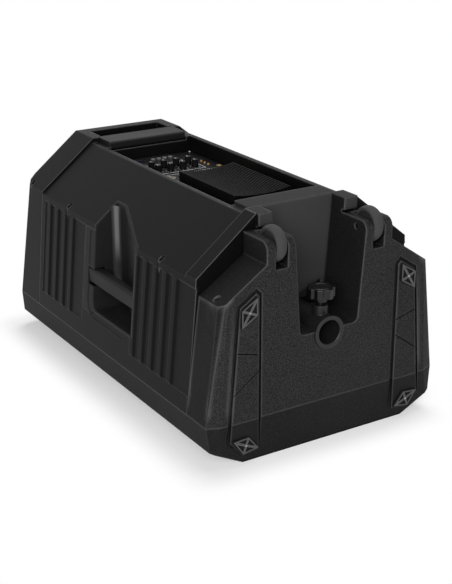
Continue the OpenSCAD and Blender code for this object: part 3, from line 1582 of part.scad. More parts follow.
// A soft pad on the inner face of the top end
module damping_pad() {
    color("#4d4a46") difference() {
        intersection() {
            volume(wall);
            box([-damping_w / 2, horn_y, seam_z + damping_margin], [damping_w / 2, yf, finger_z - wall - damping_margin]);
        }
        volume(wall + damping_t);
    }
}

rear_shell();
bottom_end();
top_end();
panel_ledge();
front_baffle();
front_grille();
shell_screws();
top_handle_bar();
side_cup(-1);  // side_cup_l
side_cup(1);  // side_cup_r
side_grips();
wheel_hub(-1);  // wheel_hub_l
wheel_hub(1);  // wheel_hub_r
wheel_tyre(-1);  // wheel_tyre_l
wheel_tyre(1);  // wheel_tyre_r
wheel_axles();
rubber_feet();
pole_socket();
clamp_insert();
clamp_screw();
clamp_pad();
amp_panel();
panel_gasket();
panel_screws();
heat_sink();
pot_block();
amp_board();
power_supply();
input_jacks();
phono_jacks();
media_plate();
display_window();
power_inlet();
switch_frame();
power_rocker();
woofer_basket();
woofer_magnet();
woofer_cone();
woofer_surround();
woofer_spider();
voice_coil();
dust_cap();
woofer_screws();
horn_flare();
compression_driver();
port_tubes();
crossover_board();
damping_pad();
for (i = [1:8]) knob(i);
for (i = [1:4]) media_button(i);
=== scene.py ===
"""The looks of a powered loudspeaker that lies on its grille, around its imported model.

The frame is the model's: +X across, +Y to the top end, +Z out of the rear. Lengths are in metres, and in
millimetres where they are multiplied by MM.
"""
import math

import bmesh
import bpy
from mathutils import Matrix, Vector, noise


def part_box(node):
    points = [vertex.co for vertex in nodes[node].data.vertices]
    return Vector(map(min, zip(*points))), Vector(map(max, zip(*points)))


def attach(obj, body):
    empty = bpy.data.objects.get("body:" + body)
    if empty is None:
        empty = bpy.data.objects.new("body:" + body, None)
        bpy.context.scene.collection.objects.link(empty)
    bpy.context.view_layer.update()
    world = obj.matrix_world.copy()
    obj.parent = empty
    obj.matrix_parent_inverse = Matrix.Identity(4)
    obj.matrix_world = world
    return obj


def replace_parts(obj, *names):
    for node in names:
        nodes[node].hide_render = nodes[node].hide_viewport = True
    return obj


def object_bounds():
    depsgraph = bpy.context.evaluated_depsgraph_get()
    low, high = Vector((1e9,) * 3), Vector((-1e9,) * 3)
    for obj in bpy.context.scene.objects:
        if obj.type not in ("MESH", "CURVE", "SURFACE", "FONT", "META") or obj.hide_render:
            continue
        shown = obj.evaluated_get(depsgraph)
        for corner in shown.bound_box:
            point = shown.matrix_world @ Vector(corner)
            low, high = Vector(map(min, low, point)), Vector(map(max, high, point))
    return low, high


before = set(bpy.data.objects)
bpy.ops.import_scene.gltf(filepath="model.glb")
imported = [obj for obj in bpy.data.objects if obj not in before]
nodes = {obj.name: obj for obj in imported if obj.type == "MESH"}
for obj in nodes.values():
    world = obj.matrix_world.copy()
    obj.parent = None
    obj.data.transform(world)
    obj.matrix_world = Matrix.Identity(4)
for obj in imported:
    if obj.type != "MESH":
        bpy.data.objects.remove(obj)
cad_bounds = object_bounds()
scene = bpy.context.scene
scene.view_settings.view_transform = "Standard"
MM = 0.001
CABINET = "cabinet"
KNOB_COUNT = 8
BUTTON_COUNT = 4


# Shader maths

RAYS = 8
OPEN_SKY = (0.35, 0.9)


class Signal:
    """A value in a node tree; arithmetic on it adds Math nodes."""

    def __init__(self, nodes_of, socket):
        self.nodes_of = nodes_of
        self.socket = socket

    def maths(self, operation, first, second=None):
        return self.nodes_of.node("ShaderNodeMath", {"operation": operation}, {0: first, 1: second})

    def __add__(self, other):
        return self.maths("ADD", self, other)

    __radd__ = __add__

    def __sub__(self, other):
        return self.maths("SUBTRACT", self, other)

    def __rsub__(self, other):
        return self.maths("SUBTRACT", other, self)

    def __mul__(self, other):
        return self.maths("MULTIPLY", self, other)

    __rmul__ = __mul__

    def __pow__(self, other):
        return self.maths("POWER", self, other)

    def __abs__(self):
        return self.maths("ABSOLUTE", self)

    def most(self, other):
        return self.maths("MAXIMUM", self, other)


class Nodes:
    """A node tree whose nodes all come from one method."""

    def __init__(self, tree):
        self.tree = tree

    def node(self, kind, settings=None, sockets=None, out=0):
        """A node of that kind, with its settings, then the values or links of its sockets."""
        made = self.tree.nodes.new(kind)
        for setting, value in (settings or {}).items():
            setattr(made, setting, value)
        for socket, value in (sockets or {}).items():
            self.feed(made.inputs[socket], value)
        return Signal(self, made.outputs[out])

    def feed(self, socket, value):
        if isinstance(value, Signal):
            self.tree.links.new(value.socket, socket)
        elif value is not None:
            socket.default_value = value

    def seen(self):
        """1 on rays that show the surface itself: from the camera, a reflection or through glass."""
        camera, glossy, through = (self.node("ShaderNodeLightPath", out=f"Is {ray} Ray")
                                   for ray in ("Camera", "Glossy", "Transmission"))
        return camera.most(glossy).most(through)

    def ramp(self, value, low, high):
        """0 below low and 1 above high, smooth between them."""
        return self.node("ShaderNodeMapRange", {"interpolation_type": "SMOOTHSTEP"},
                         {"Value": value, "From Min": low, "From Max": high})


class Finish(Nodes):
    """A material made of nodes round one Principled shader."""

    def __init__(self, name, constants):
        self.material = bpy.data.materials.new(name)
        self.material.use_nodes = True
        super().__init__(self.material.node_tree)
        self.shader = self.tree.nodes["Principled BSDF"]
        for socket, value in constants.items():
            self.shader.inputs[socket].default_value = value
        self.at = self.node("ShaderNodeTexCoord", out="Object")
        self.facing = self.node("ShaderNodeNewGeometry", out="Normal")

    def set(self, socket, value):
        self.feed(self.shader.inputs[socket], value)

    def mix(self, factor, first, second):
        """One colour into another."""
        return self.node("ShaderNodeMix", {"data_type": "RGBA"}, {0: factor, 6: first, 7: second}, 2)

    def noise(self, scale, detail=2.0, at=None):
        return self.node("ShaderNodeTexNoise", None,
                         {"Vector": at or self.at, "Scale": scale, "Detail": detail})

    def cells(self, scale):
        return self.node("ShaderNodeTexVoronoi", {"feature": "SMOOTH_F1"},
                         {"Vector": self.at, "Scale": scale})

    def axis(self, index, vector):
        return self.node("ShaderNodeSeparateXYZ", None, {0: vector}, index)

    def stretched(self, x, y, z):
        """The place on the surface, scaled along each axis."""
        return self.node("ShaderNodeVectorMath", {"operation": "MULTIPLY"}, {0: self.at, 1: (x, y, z)})

    def rounded(self, radius):
        """The surface's normal with its edges rounded off."""
        return self.node("ShaderNodeBevel", {"samples": RAYS}, {"Radius": radius})

    def edges(self, normal):
        """0 on the flat, and more the more a rounded edge turns."""
        return 1 - self.node("ShaderNodeVectorMath", {"operation": "DOT_PRODUCT"},
                             {0: normal, 1: self.facing}, 1)

    def open_sky(self, distance):
        """1 in the open, and less in a groove or a corner no wider than the distance."""
        shade = self.node("ShaderNodeAmbientOcclusion", {"samples": RAYS}, {"Distance": distance}, "AO")
        return self.ramp(shade, *OPEN_SKY)

    def relief(self, height, strength, depth, normal=None):
        self.set("Normal", self.node("ShaderNodeBump", None, {
            "Strength": strength, "Distance": depth, "Height": height, "Normal": normal}))


def grey(level):
    return (level, level, level, 1.0)


def tint(level, red, green, blue):
    return (level * red, level * green, level * blue, 1.0)


# Finishes

FINE = 1500
FINE_DEPTH = 0.0002
PEBBLE_TO_FINE = 2.1
SPECK = (0.3, 0.75)
EDGE_HIGHLIGHT_TURN = (0.01, 0.3)
GRAIN, MORE_GRAIN = 0.3, 0.7
LOOKS_AHEAD = (0.6, 0.9)
LOOKS_UP = (0.2, 0.4)
CHANNEL_Y = (-0.30, -0.26)
CHANNEL_LIGHT_GREY = grey(0.04)
UPRIGHT_R = 0.012
UPRIGHT_TURN = (0.01, 0.13)
UPRIGHT_X = (0.155, 0.165)
UPRIGHT_Z = (0.07, 0.09)
UPRIGHT_HIGHLIGHT_GREY = grey(0.085)
CREASE_SHADE_GREY = grey(0.001)
PALE_EDGE_TURN = (0.02, 0.35)
TOP_LIGHT_FACING = (0.7, 0.95)
METAL_EDGE, METAL_DEPTH = 0.0003, 0.0001
PAINT_EDGE = 0.0004
RUBBER_EDGE = 0.0006
POCKETS_Y = (-0.3259, -0.3248)
POCKET_SHADE_GREY = grey(0.003)
STRAND = 0.25
HAIR = (0.35, 0.75)
HAIR_DEPTH = 0.0005
FILLET_TURN = (0.36, 0.5)
FILLET_FADE_Z = (0.19, 0.235)
FILLET_HIGHLIGHT_GREY = grey(0.1)


def pebbled(name, dark, light, pebble, depth, rough, radius, shine=0.05, edge_highlight=0.12, crease=0.007,
            end=False, coarse=False):
    """Moulded black plastic with a pebble grain, painted highlights on its edges and painted shade in
    creases.

    An end of the cabinet has painted light deep in its channel, on what looks along -Y. A coarse end has more
    grain on what looks along -Y outside the channel, and a painted highlight on the upright edges at both
    sides.
    """
    f = Finish(name, {"Specular IOR Level": shine})
    soft = f.rounded(radius)
    cell = f.cells(pebble)
    fine = f.noise(pebble * PEBBLE_TO_FINE)
    cloud = f.noise(7, 3)
    grain = cell * 0.7 + fine * 0.5
    speck = f.ramp(grain, *SPECK)
    sky = f.open_sky(crease)
    edge = f.ramp(f.edges(soft), *EDGE_HIGHLIGHT_TURN) * sky
    contrast = GRAIN
    if end:
        ahead = f.ramp(0 - f.axis(1, f.facing), *LOOKS_AHEAD)
        inner = f.ramp(f.axis(1, f.at), *CHANNEL_Y) * ahead
    if coarse:
        aside = f.ramp(abs(f.axis(0, f.at)), *UPRIGHT_X)
        steep = 1 - f.ramp(f.axis(2, f.facing), *LOOKS_UP)
        above = f.ramp(f.axis(2, f.at), *UPRIGHT_Z)
        upright_highlight = f.ramp(f.edges(f.rounded(UPRIGHT_R)), *UPRIGHT_TURN) * aside * steep * above
        contrast = GRAIN + ahead * MORE_GRAIN - inner * MORE_GRAIN
    base = f.mix(speck * contrast + cloud * 0.3 - 0.15, dark, light)
    if end:
        # Painted light deep in the channel.
        base = f.mix(inner, base, CHANNEL_LIGHT_GREY)
    if coarse:
        # A painted highlight on the upright edges at both sides.
        base = f.mix(upright_highlight, base, UPRIGHT_HIGHLIGHT_GREY)
    # Painted shade in creases and grooves.
    base = f.mix(sky, CREASE_SHADE_GREY, base)
    # A painted highlight on rounded edges, kept out of creases.
    f.set("Base Color", f.mix(edge * (fine * 0.5 + 0.5), base, grey(edge_highlight)))
    f.set("Roughness", rough + fine * 0.14 - cell * 0.1 - edge * 0.1)
    f.relief(grain * contrast, 1.0, depth, soft)
    return f.material


def satin(name, dark, light, rough, radius, shine=0.3, edge_grey=0.03, top_light=None):
    """Smooth moulded plastic with a fine speck and paler rounded edges, and painted light where it looks up.
    """
    f = Finish(name, {"Specular IOR Level": shine})
    soft = f.rounded(radius)
    fine = f.noise(FINE)
    cloud = f.noise(12, 4)
    edge = f.ramp(f.edges(soft), *PALE_EDGE_TURN)
    base = f.mix(fine * 0.5 + cloud * 0.5, dark, light)
    if top_light:
        # Painted light on what looks up.
        base = f.mix(f.ramp(f.axis(2, f.facing), *TOP_LIGHT_FACING), base, top_light)
    # Paler where a rounded edge turns.
    f.set("Base Color", f.mix(edge * 0.7, base, grey(edge_grey)))
    f.set("Roughness", rough + cloud * 0.16 - 0.08)
    f.relief(fine, 0.25, FINE_DEPTH, soft)
    return f.material


def metal(name, colour, other, rough, along=(1, 1, 1), lines=900):
    """Bare metal with tool marks that run along one way."""
    f = Finish(name, {"Metallic": 1.0})
    marks = f.noise(lines, 3, f.stretched(*along))
    cloud = f.noise(60, 3)
    f.set("Base Color", f.mix(cloud, colour, other))
    f.set("Roughness", rough + marks * 0.2 - 0.1)
    f.relief(marks, 0.2, METAL_DEPTH, f.rounded(METAL_EDGE))
    return f.material


def painted(name, colour, other, rough, peel=600, shine=0.3):
    """Paint or powder coat over metal, with a fine orange peel."""
    f = Finish(name, {"Specular IOR Level": shine})
    peel_height = f.noise(peel)
    cloud = f.noise(20, 3)
    f.set("Base Color", f.mix(cloud * 0.6 + peel_height * 0.4, colour, other))
    f.set("Roughness", rough + peel_height * 0.12 - 0.06)
    f.relief(peel_height, 0.3, FINE_DEPTH, f.rounded(PAINT_EDGE))
    return f.material


def rubber(name, dark, light, rough=0.75, pockets=None):
    """Matte rubber with a dusty bloom, and painted shade on what lies farther in than the pockets' level
    along Y.
    """
    f = Finish(name, {"Specular IOR Level": 0.2})
    bloom = f.noise(90, 4)
    fine = f.noise(1400)
    base = f.mix(bloom * 0.6 + fine * 0.4, dark, light)
    if pockets:
        # Painted shade in the feet's pockets.
        base = f.mix(f.ramp(f.axis(1, f.at), *pockets), base, POCKET_SHADE_GREY)
    f.set("Base Color", base)
    f.set("Roughness", rough + bloom * 0.12)
    f.relief(fine, 0.35, FINE_DEPTH, f.rounded(RUBBER_EDGE))
    return f.material


def fibre(name, dark, light, scale):
    """Felt, paper or cloth with fibres that cross."""
    f = Finish(name, {"Specular IOR Level": 0.2})
    long = f.noise(scale, 4, f.stretched(1, STRAND, 1))
    cross = f.noise(scale, 4, f.stretched(STRAND, 1, 1))
    hair = long.most(cross)
    f.set("Base Color", f.mix(f.ramp(hair, *HAIR), dark, light))
    f.set("Roughness", 0.9 - hair * 0.1)
    f.relief(hair, 0.6, HAIR_DEPTH)
    return f.material


def hollow_plastic():
    """The handle cup's plastic, with a painted highlight high up where a hollow turns from one wall to the
    other.
    """
    f = Finish("fillet_plastic", {"Specular IOR Level": 0.4})
    fine = f.noise(FINE)
    turn = abs(f.axis(0, f.facing) * f.axis(1, f.facing))
    base = f.mix(fine, grey(0.012), grey(0.026))
    high = f.ramp(f.axis(2, f.at), *FILLET_FADE_Z)
    # A painted highlight high up where the hollow turns.
    f.set("Base Color", f.mix(f.ramp(turn, *FILLET_TURN) * high, base, FILLET_HIGHLIGHT_GREY))
    f.set("Roughness", 0.34 + fine * 0.1)
    f.relief(fine, 0.2, FINE_DEPTH)
    return f.material


def tinted_window():
    """Dark glass with faint smears."""
    f = Finish("window_glass", {"Specular IOR Level": 0.6, "Coat Weight": 0.6, "Coat Roughness": 0.04})
    smear = f.noise(40, 3)
    f.set("Base Color", f.mix(smear, tint(0.012, 0.5, 0.75, 1), tint(0.02, 0.5, 0.7, 1)))
    f.set("Roughness", 0.06 + smear * 0.08)
    return f.material


shell_plastic = pebbled("shell_plastic", grey(0.002), grey(0.008), 600, 0.0004, 0.42, 0.004,
                        shine=0.065, crease=0.004)
end_plastic = pebbled("end_plastic", grey(0.005), grey(0.03), 620, 0.0007, 0.5, 0.006,
                      edge_highlight=0.09, end=True, coarse=True)
# The handle cups' plastic is paler than the shell's: painted light on the cups' ramps.
cup_lit_plastic = pebbled("cup_lit_plastic", grey(0.011), grey(0.026), 700, 0.0002, 0.4, 0.003,
                      edge_highlight=0.03, crease=0.003)
front_plastic = pebbled("front_plastic", grey(0.007), grey(0.034), 620, 0.0005, 0.5, 0.004,
                        edge_highlight=0.07, end=True)
fillet_plastic = hollow_plastic()
handle_plastic = satin("handle_plastic", grey(0.006), grey(0.011), 0.5, 0.002, 0.1, 0.08)
socket_plastic = satin("socket_plastic", grey(0.006), grey(0.012), 0.4, 0.0012)
horn_plastic = satin("horn_plastic", grey(0.01), grey(0.018), 0.4, 0.001)
hub_plastic = satin("hub_plastic", grey(0.014), grey(0.026), 0.5, 0.0008)
knob_plastic = satin("knob_plastic", grey(0.001), grey(0.003), 0.45, 0.0005, 0.06, 0.01, top_light=grey(0.03))
clamp_plastic = satin("clamp_plastic", grey(0.002), grey(0.005), 0.28, 0.001, 0.35)
gloss_plastic = satin("gloss_plastic", grey(0.006), grey(0.01), 0.25, 0.0005, 0.5)
button_plastic = satin("button_plastic", grey(0.09), grey(0.13), 0.45, 0.0004)
tyre_rubber = rubber("tyre_rubber", grey(0.026), grey(0.048))
foot_rubber = rubber("foot_rubber", grey(0.05), grey(0.085), pockets=POCKETS_Y)
black_rubber = rubber("black_rubber", grey(0.012), grey(0.022), 0.65)
grille_paint = painted("grille_paint", grey(0.008), grey(0.016), 0.45)
panel_paint = painted("panel_paint", grey(0.004), grey(0.009), 0.42, 900, 0.06)
sink_paint = painted("sink_paint", grey(0.002), grey(0.005), 0.5, shine=0.04)
scale_ink = painted("scale_ink", grey(0.55), grey(0.7), 0.5, 1500)
signal_lens = painted("signal_lens", tint(0.3, 1, 0.5, 0.14), tint(0.4, 1, 0.5, 0.16), 0.2, 300)
black_oxide = metal("black_oxide", grey(0.03), grey(0.06), 0.42)
plated_steel = metal("plated_steel", grey(0.5), grey(0.6), 0.3)
turned_steel = metal("turned_steel", grey(0.42), grey(0.55), 0.28, (8, 1, 1))
cast_metal = metal("cast_metal", grey(0.25), grey(0.36), 0.5, lines=300)
ferrite = painted("ferrite", grey(0.03), grey(0.06), 0.6, 300)
bright_brass = metal("bright_brass", tint(0.62, 1, 0.72, 0.34), tint(0.5, 1, 0.7, 0.32), 0.28)
zinc_can = metal("zinc_can", grey(0.42), grey(0.5), 0.38)
copper_wire = metal("copper_wire", tint(0.6, 1, 0.5, 0.3), tint(0.45, 1, 0.48, 0.28), 0.3, (1, 1, 12))
board_green = painted("board_green", tint(0.07, 0.2, 1, 0.45), tint(0.1, 0.2, 1, 0.45), 0.35, 400)
cone_paper = fibre("cone_paper", grey(0.012), grey(0.035), 500)
spider_cloth = fibre("spider_cloth", tint(0.22, 1, 0.75, 0.42), tint(0.34, 1, 0.78, 0.46), 700)
felt = fibre("felt", grey(0.06), grey(0.16), 260)

FINISHES = {
    shell_plastic: ["rear_shell", "top_end", "panel_ledge"],
    end_plastic: ["bottom_end"],
    cup_lit_plastic: ["side_cup_l", "side_cup_r"],
    front_plastic: ["front_baffle"],
    handle_plastic: ["top_handle_bar", "side_grips"],
    socket_plastic: ["pole_socket", "port_tubes"],
    horn_plastic: ["horn_flare"],
    hub_plastic: ["wheel_hub_l", "wheel_hub_r"],
    tyre_rubber: ["wheel_tyre_l", "wheel_tyre_r"],
    foot_rubber: ["rubber_feet"],
    black_rubber: ["clamp_pad", "panel_gasket", "woofer_surround"],
    grille_paint: ["front_grille"],
    panel_paint: ["amp_panel"],
    sink_paint: ["heat_sink"],
    black_oxide: ["shell_screws", "woofer_screws", "clamp_insert"],
    plated_steel: ["panel_screws"],
    turned_steel: ["wheel_axles"],
    cast_metal: ["woofer_basket", "compression_driver"],
    ferrite: ["woofer_magnet"],
    bright_brass: ["phono_jacks"],
    zinc_can: ["pot_block", "power_supply"],
    copper_wire: ["voice_coil"],
    board_green: ["amp_board", "crossover_board"],
    cone_paper: ["woofer_cone", "dust_cap"],
    spider_cloth: ["woofer_spider"],
    felt: ["damping_pad"],
    clamp_plastic: ["clamp_screw"],
    knob_plastic: [f"knob_{i}" for i in range(1, KNOB_COUNT + 1)],
    gloss_plastic: ["input_jacks", "power_inlet", "switch_frame", "power_rocker", "media_plate"],
    button_plastic: [f"media_button_{i}" for i in range(1, BUTTON_COUNT + 1)],
    tinted_window(): ["display_window"],
}
for finish, members in FINISHES.items():
    for member in members:
        nodes[member].data.materials.clear()
        nodes[member].data.materials.append(finish)


# Making pieces

def show(name, shape, finish, body, sharp=35):
    """A new piece made of a bmesh, with its finish and the body it rides on."""
    bmesh.ops.recalc_face_normals(shape, faces=shape.faces)
    for face in shape.faces:
        face.smooth = True
    for edge in shape.edges:
        edge.smooth = edge.calc_face_angle(math.pi) < math.radians(sharp)
    mesh = bpy.data.meshes.new(name)
    shape.to_mesh(mesh)
    shape.free()
    mesh.materials.append(finish)
    piece = bpy.data.objects.new(name, mesh)
    scene.collection.objects.link(piece)
    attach(piece, body)
    return piece


def turned(profile, count, wave=None, ring=False, lid=True):
    """A form turned about Z from millimetres of radius and height; wave scales the radius by angle and level.

    A ring's profile closes on itself. Any other form has a flat at its first end, and with a lid at its last.
    """
    shape = bmesh.new()
    loops = []
    for level, (radius, height) in enumerate(profile):
        loop = []
        for step in range(count):
            angle = math.tau * step / count
            reach = radius * (wave(angle, level) if wave else 1) * MM
            loop.append(shape.verts.new((reach * math.cos(angle), reach * math.sin(angle), height * MM)))
        loops.append(loop)
    uppers = loops[1:] + loops[:1] if ring else loops[1:]
    for lower, upper in zip(loops, uppers):
        for step in range(count):
            after = (step + 1) % count
            shape.faces.new((lower[step], lower[after], upper[after], upper[step]))
    if not ring:
        shape.faces.new(loops[0])
        if lid:
            shape.faces.new(loops[-1])
    return shape


def spread(shape, places):
    """Copies of a form, one at each place, as one form."""
    pattern = bpy.data.meshes.new("pattern")
    shape.to_mesh(pattern)
    shape.free()
    many = bmesh.new()
    for place in places:
        first = len(many.verts)
        many.from_mesh(pattern)
        many.verts.ensure_lookup_table()
        bmesh.ops.translate(many, verts=many.verts[first:], vec=place)
    bpy.data.meshes.remove(pattern)
    return many


def lay_bar(shape, start, end, width, low, high):
    """A bar on a level face from start to end, narrower at its top."""
    start, end = Vector(start), Vector(end)
    along = (end - start).normalized()
    across = Vector((-along.y, along.x))
    rings = []
    for inset, height in ((0, low), ((high - low) / 2, high)):
        side = across * (width / 2 - inset)
        tail, tip = start + along * inset, end - along * inset
        corners = (tail - side, tip - side, tip + side, tail + side)
        rings.append([shape.verts.new((p.x, p.y, height)) for p in corners])
    lower, upper = rings
    for i in range(4):
        shape.faces.new((lower[i], lower[i - 3], upper[i - 3], upper[i]))
    shape.faces.new(lower)
    shape.faces.new(upper)


def middle(node):
    low, high = (Vector(corner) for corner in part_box(node))
    return (low + high) / 2


def top(node):
    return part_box(node)[1][2]


# Grille

GRILLE_FLAT = 140.7 * MM
GRILLE_SHEET = 1.6 * MM
GRILLE_PITCH = 10 * MM
GRILLE_HOLE = 3.9 * MM
GRILLE_RIM = 4 * MM
BRICK_RISE = math.sqrt(3) / 2


class Perforated:
    """A sheet laid in bricks, each with a six-sided hole, that share their corners."""

    def __init__(self):
        self.shape = bmesh.new()
        self.corners = {}

    def corner(self, u, v):
        place = (round(u, 6), round(v, 6))
        if place not in self.corners:
            self.corners[place] = self.shape.verts.new((u, v, 0))
        return self.corners[place]

    def plain(self, u0, v0, u1, v1):
        self.shape.faces.new([self.corner(*p) for p in ((u0, v0), (u1, v0), (u1, v1), (u0, v1))])

    def brick(self, u, v, width, height):
        half = u + width / 2
        rim = [self.corner(*p) for p in ((u, v), (half, v), (u + width, v),
                                         (u + width, v + height), (half, v + height), (u, v + height))]
        hole = []
        for angle in (210, 270, 330, 30, 90, 150):
            turn = math.radians(angle)
            hole.append(self.shape.verts.new((half + GRILLE_HOLE * math.cos(turn),
                                              v + height / 2 + GRILLE_HOLE * math.sin(turn), 0)))
        for i in range(6):
            self.shape.faces.new((rim[i - 1], rim[i], hole[i], hole[i - 1]))

    def field(self, u0, u1, v0, v1):
        """Rows of bricks with a plain rim all round."""
        left, right = u0 + GRILLE_RIM, u1 - GRILLE_RIM
        count = round((right - left) / GRILLE_PITCH)
        width = (right - left) / count
        rows = round((v1 - v0 - 2 * GRILLE_RIM) / (GRILLE_PITCH * BRICK_RISE))
        height = (v1 - v0 - 2 * GRILLE_RIM) / rows
        for row in range(rows):
            v = v0 + GRILLE_RIM + row * height
            shift = width / 2 * (row % 2)
            for column in range(count - row % 2):
                self.brick(left + shift + column * width, v, width, height)
            if row % 2:
                self.plain(left, v, left + shift, v + height)
                self.plain(right - shift, v, right, v + height)
            self.plain(u0, v, left, v + height)
            self.plain(right, v, u1, v + height)
        for low, high in ((v0, v0 + GRILLE_RIM), (v1 - GRILLE_RIM, v1)):
            self.plain(u0, low, left, high)
            self.plain(right, low, u1, high)
            for step in range(2 * count):
                self.plain(left + step * width / 2, low, left + (step + 1) * width / 2, high)


def make_grille():
    """A folded sheet of six-sided holes over the flat front and both bevels."""
    low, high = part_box("front_grille")
    level = low[2] + GRILLE_SHEET / 2
    edge = high[0] - GRILLE_SHEET / 2
    rise = high[2] - level
    bevel = math.hypot(edge - GRILLE_FLAT, rise)
    sheet = Perforated()
    sheet.field(-GRILLE_FLAT, GRILLE_FLAT, low[1], high[1])
    sheet.field(GRILLE_FLAT, GRILLE_FLAT + bevel, low[1], high[1])
    sheet.field(-GRILLE_FLAT - bevel, -GRILLE_FLAT, low[1], high[1])
    for vert in sheet.shape.verts:
        past = max(abs(vert.co.x) - GRILLE_FLAT, 0) / bevel
        if past:
            vert.co.x = math.copysign(GRILLE_FLAT + past * (edge - GRILLE_FLAT), vert.co.x)
        vert.co.z = level + past * rise
    grille = show("perforated_grille", sheet.shape, grille_paint, CABINET, sharp=20)
    thick = grille.modifiers.new("sheet", "SOLIDIFY")
    thick.thickness, thick.offset = GRILLE_SHEET, 0
    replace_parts(grille, "front_grille")


# Amplifier panel

KNOB_CAP = [(2.9, -16), (2.9, 0), (5.8, 0), (6.0, 0.4), (6.0, 2.0), (5.6, 2.6), (5.5, 3.2), (5.1, 11.0),
            (4.9, 11.6), (4.4, 12.0), (3.9, 11.7), (3.4, 11.4), (1.0, 11.3)]
KNOB_HIGH = 12
FLUTES = 18
FLUTE_SIDES = 6
FLUTE_DEEP = 0.09
FLUTED_LEVELS = (6, 7, 8)
POINTER_Y = (1.2, 4.9)
POINTER_Z = (11.2, 12.05)
POINTER_W = 1.1
TICKS = 11
SWEEP = 300
TICK_NEAR, TICK_FAR, TICK_W = 7.4, 9.0, 0.5
INK = 0.12
LINE_W = 0.9


def fluted(angle, level):
    """What the radius of a knob cap is multiplied by."""
    return 1 - FLUTE_DEEP * (0.5 + 0.5 * math.cos(FLUTES * angle)) ** 2 if level in FLUTED_LEVELS else 1


def make_knobs():
    """Fluted caps with a dished top and a pale pointer, and a scale round each on the panel."""
    scales = bmesh.new()
    face = top("amp_panel")
    for i in range(1, KNOB_COUNT + 1):
        at = middle(f"knob_{i}")
        at.z = top(f"knob_{i}") - KNOB_HIGH * MM
        cap = show(f"knob_cap_{i}", spread(turned(KNOB_CAP, FLUTE_SIDES * FLUTES, fluted), [at]),
                   knob_plastic, f"knob_body_{i}")
        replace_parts(cap, f"knob_{i}")
        mark = bmesh.new()
        lay_bar(mark, (at.x, at.y + POINTER_Y[0] * MM), (at.x, at.y + POINTER_Y[1] * MM), POINTER_W * MM,
                at.z + POINTER_Z[0] * MM, at.z + POINTER_Z[1] * MM)
        show(f"knob_pointer_{i}", mark, scale_ink, f"knob_body_{i}")
        for tick in range(TICKS):
            turn = math.radians(90 + SWEEP / 2 - tick * SWEEP / (TICKS - 1))
            way = Vector((math.cos(turn), math.sin(turn)))
            lay_bar(scales, at.xy + way * TICK_NEAR * MM, at.xy + way * TICK_FAR * MM, TICK_W * MM,
                    face - INK * MM, face + INK * MM)
    show("knob_scales", scales, scale_ink, CABINET)


def frame_lines(shape, x0, y0, x1, y1, face):
    """Four thin lines round a group of controls."""
    corners = [(x0, y0), (x1, y0), (x1, y1), (x0, y1)]
    for start, end in zip(corners, corners[1:] + corners[:1]):
        lay_bar(shape, Vector(start) * MM, Vector(end) * MM, LINE_W * MM, face - INK * MM, face + INK * MM)


LINE_FRAMES = [(-47.5, 92, 47.5, 141), (-59, 43, 47.5, 81), (50, 43, 74, 81), (-77.5, 150.5, 37.5, 195.5)]
SIGNAL_LAMP = [(2.3, -1), (2.3, 0.5), (1.9, 0.8), (1.7, 0.8), (1.65, 1.4), (1.2, 2.0), (0.4, 2.3)]
SIGNAL_PLACES = [(60, 128), (60, 116.5), (60, 105)]
SIGNAL_SIDES = 24
JACKS_X = (-41, -7, 27)
JACK_Y = 62
JACK_PINS = 3
PIN = [(1.2, 286), (1.2, 299), (0.9, 300.2), (0.3, 300.6)]
PIN_CIRCLE = 3.6
PIN_SIDES = 16
BUSH = [(6.2, 301), (6.95, 301), (6.95, 307.2), (6.7, 307.5), (6.4, 307.4), (6.2, 307)]
BUSH_SIDES = 48
INLET_AT = (-63, -36)
BLADE_PLACES = ((5.2, 0), (-2.0, 7.0), (-2.0, -7.0))
BLADE = [(1.1, 288), (1.1, 298), (0.8, 299), (0.3, 299.2)]
BLADE_SIDES = 12
SHANK_R, SHANK_LOW = 1.5, -6
HEAD_R = 3.0
HEAD_H = 1.4
CHAMFER_LOW = HEAD_H * 0.6
BRIM = 0.86
CROSS_REACH = 1.9
CROSS_HALF = 0.45
CROSS_DEEP = 0.9
HEAD_SIDES = 32


def dress_panel():
    """Printed lines, signal lamps, contacts in the sockets and screws with crossed slots."""
    face = top("amp_panel")
    lines = bmesh.new()
    for box in LINE_FRAMES:
        frame_lines(lines, *box, face)
    show("panel_lines", lines, scale_ink, CABINET)
    lamps = [(x * MM, y * MM, face) for x, y in SIGNAL_PLACES]
    show("signal_lamps", spread(turned(SIGNAL_LAMP, SIGNAL_SIDES), lamps), signal_lens, CABINET)
    pins = []
    for x in JACKS_X:
        for i in range(JACK_PINS):
            turn = math.tau * i / JACK_PINS + math.pi / 2
            pins.append(((x + PIN_CIRCLE * math.cos(turn)) * MM,
                         (JACK_Y + PIN_CIRCLE * math.sin(turn)) * MM, 0))
    show("jack_pins", spread(turned(PIN, PIN_SIDES), pins), bright_brass, CABINET)
    bushes = [(x * MM, JACK_Y * MM, 0) for x in JACKS_X]
    show("jack_bushes", spread(turned(BUSH, BUSH_SIDES, ring=True), bushes), bright_brass, CABINET)
    blades = [((INLET_AT[0] + x) * MM, (INLET_AT[1] + y) * MM, 0) for x, y in BLADE_PLACES]
    show("inlet_pins", spread(turned(BLADE, BLADE_SIDES), blades), plated_steel, CABINET)
    low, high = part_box("panel_screws")
    inner = HEAD_R * MM
    seats = [(x, y, face) for x in (low[0] + inner, high[0] - inner)
             for y in (low[1] + inner, (low[1] + high[1]) / 2, high[1] - inner)]
    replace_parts(show("cross_screws", spread(cross_screw(), seats), plated_steel, CABINET),
                "panel_screws")


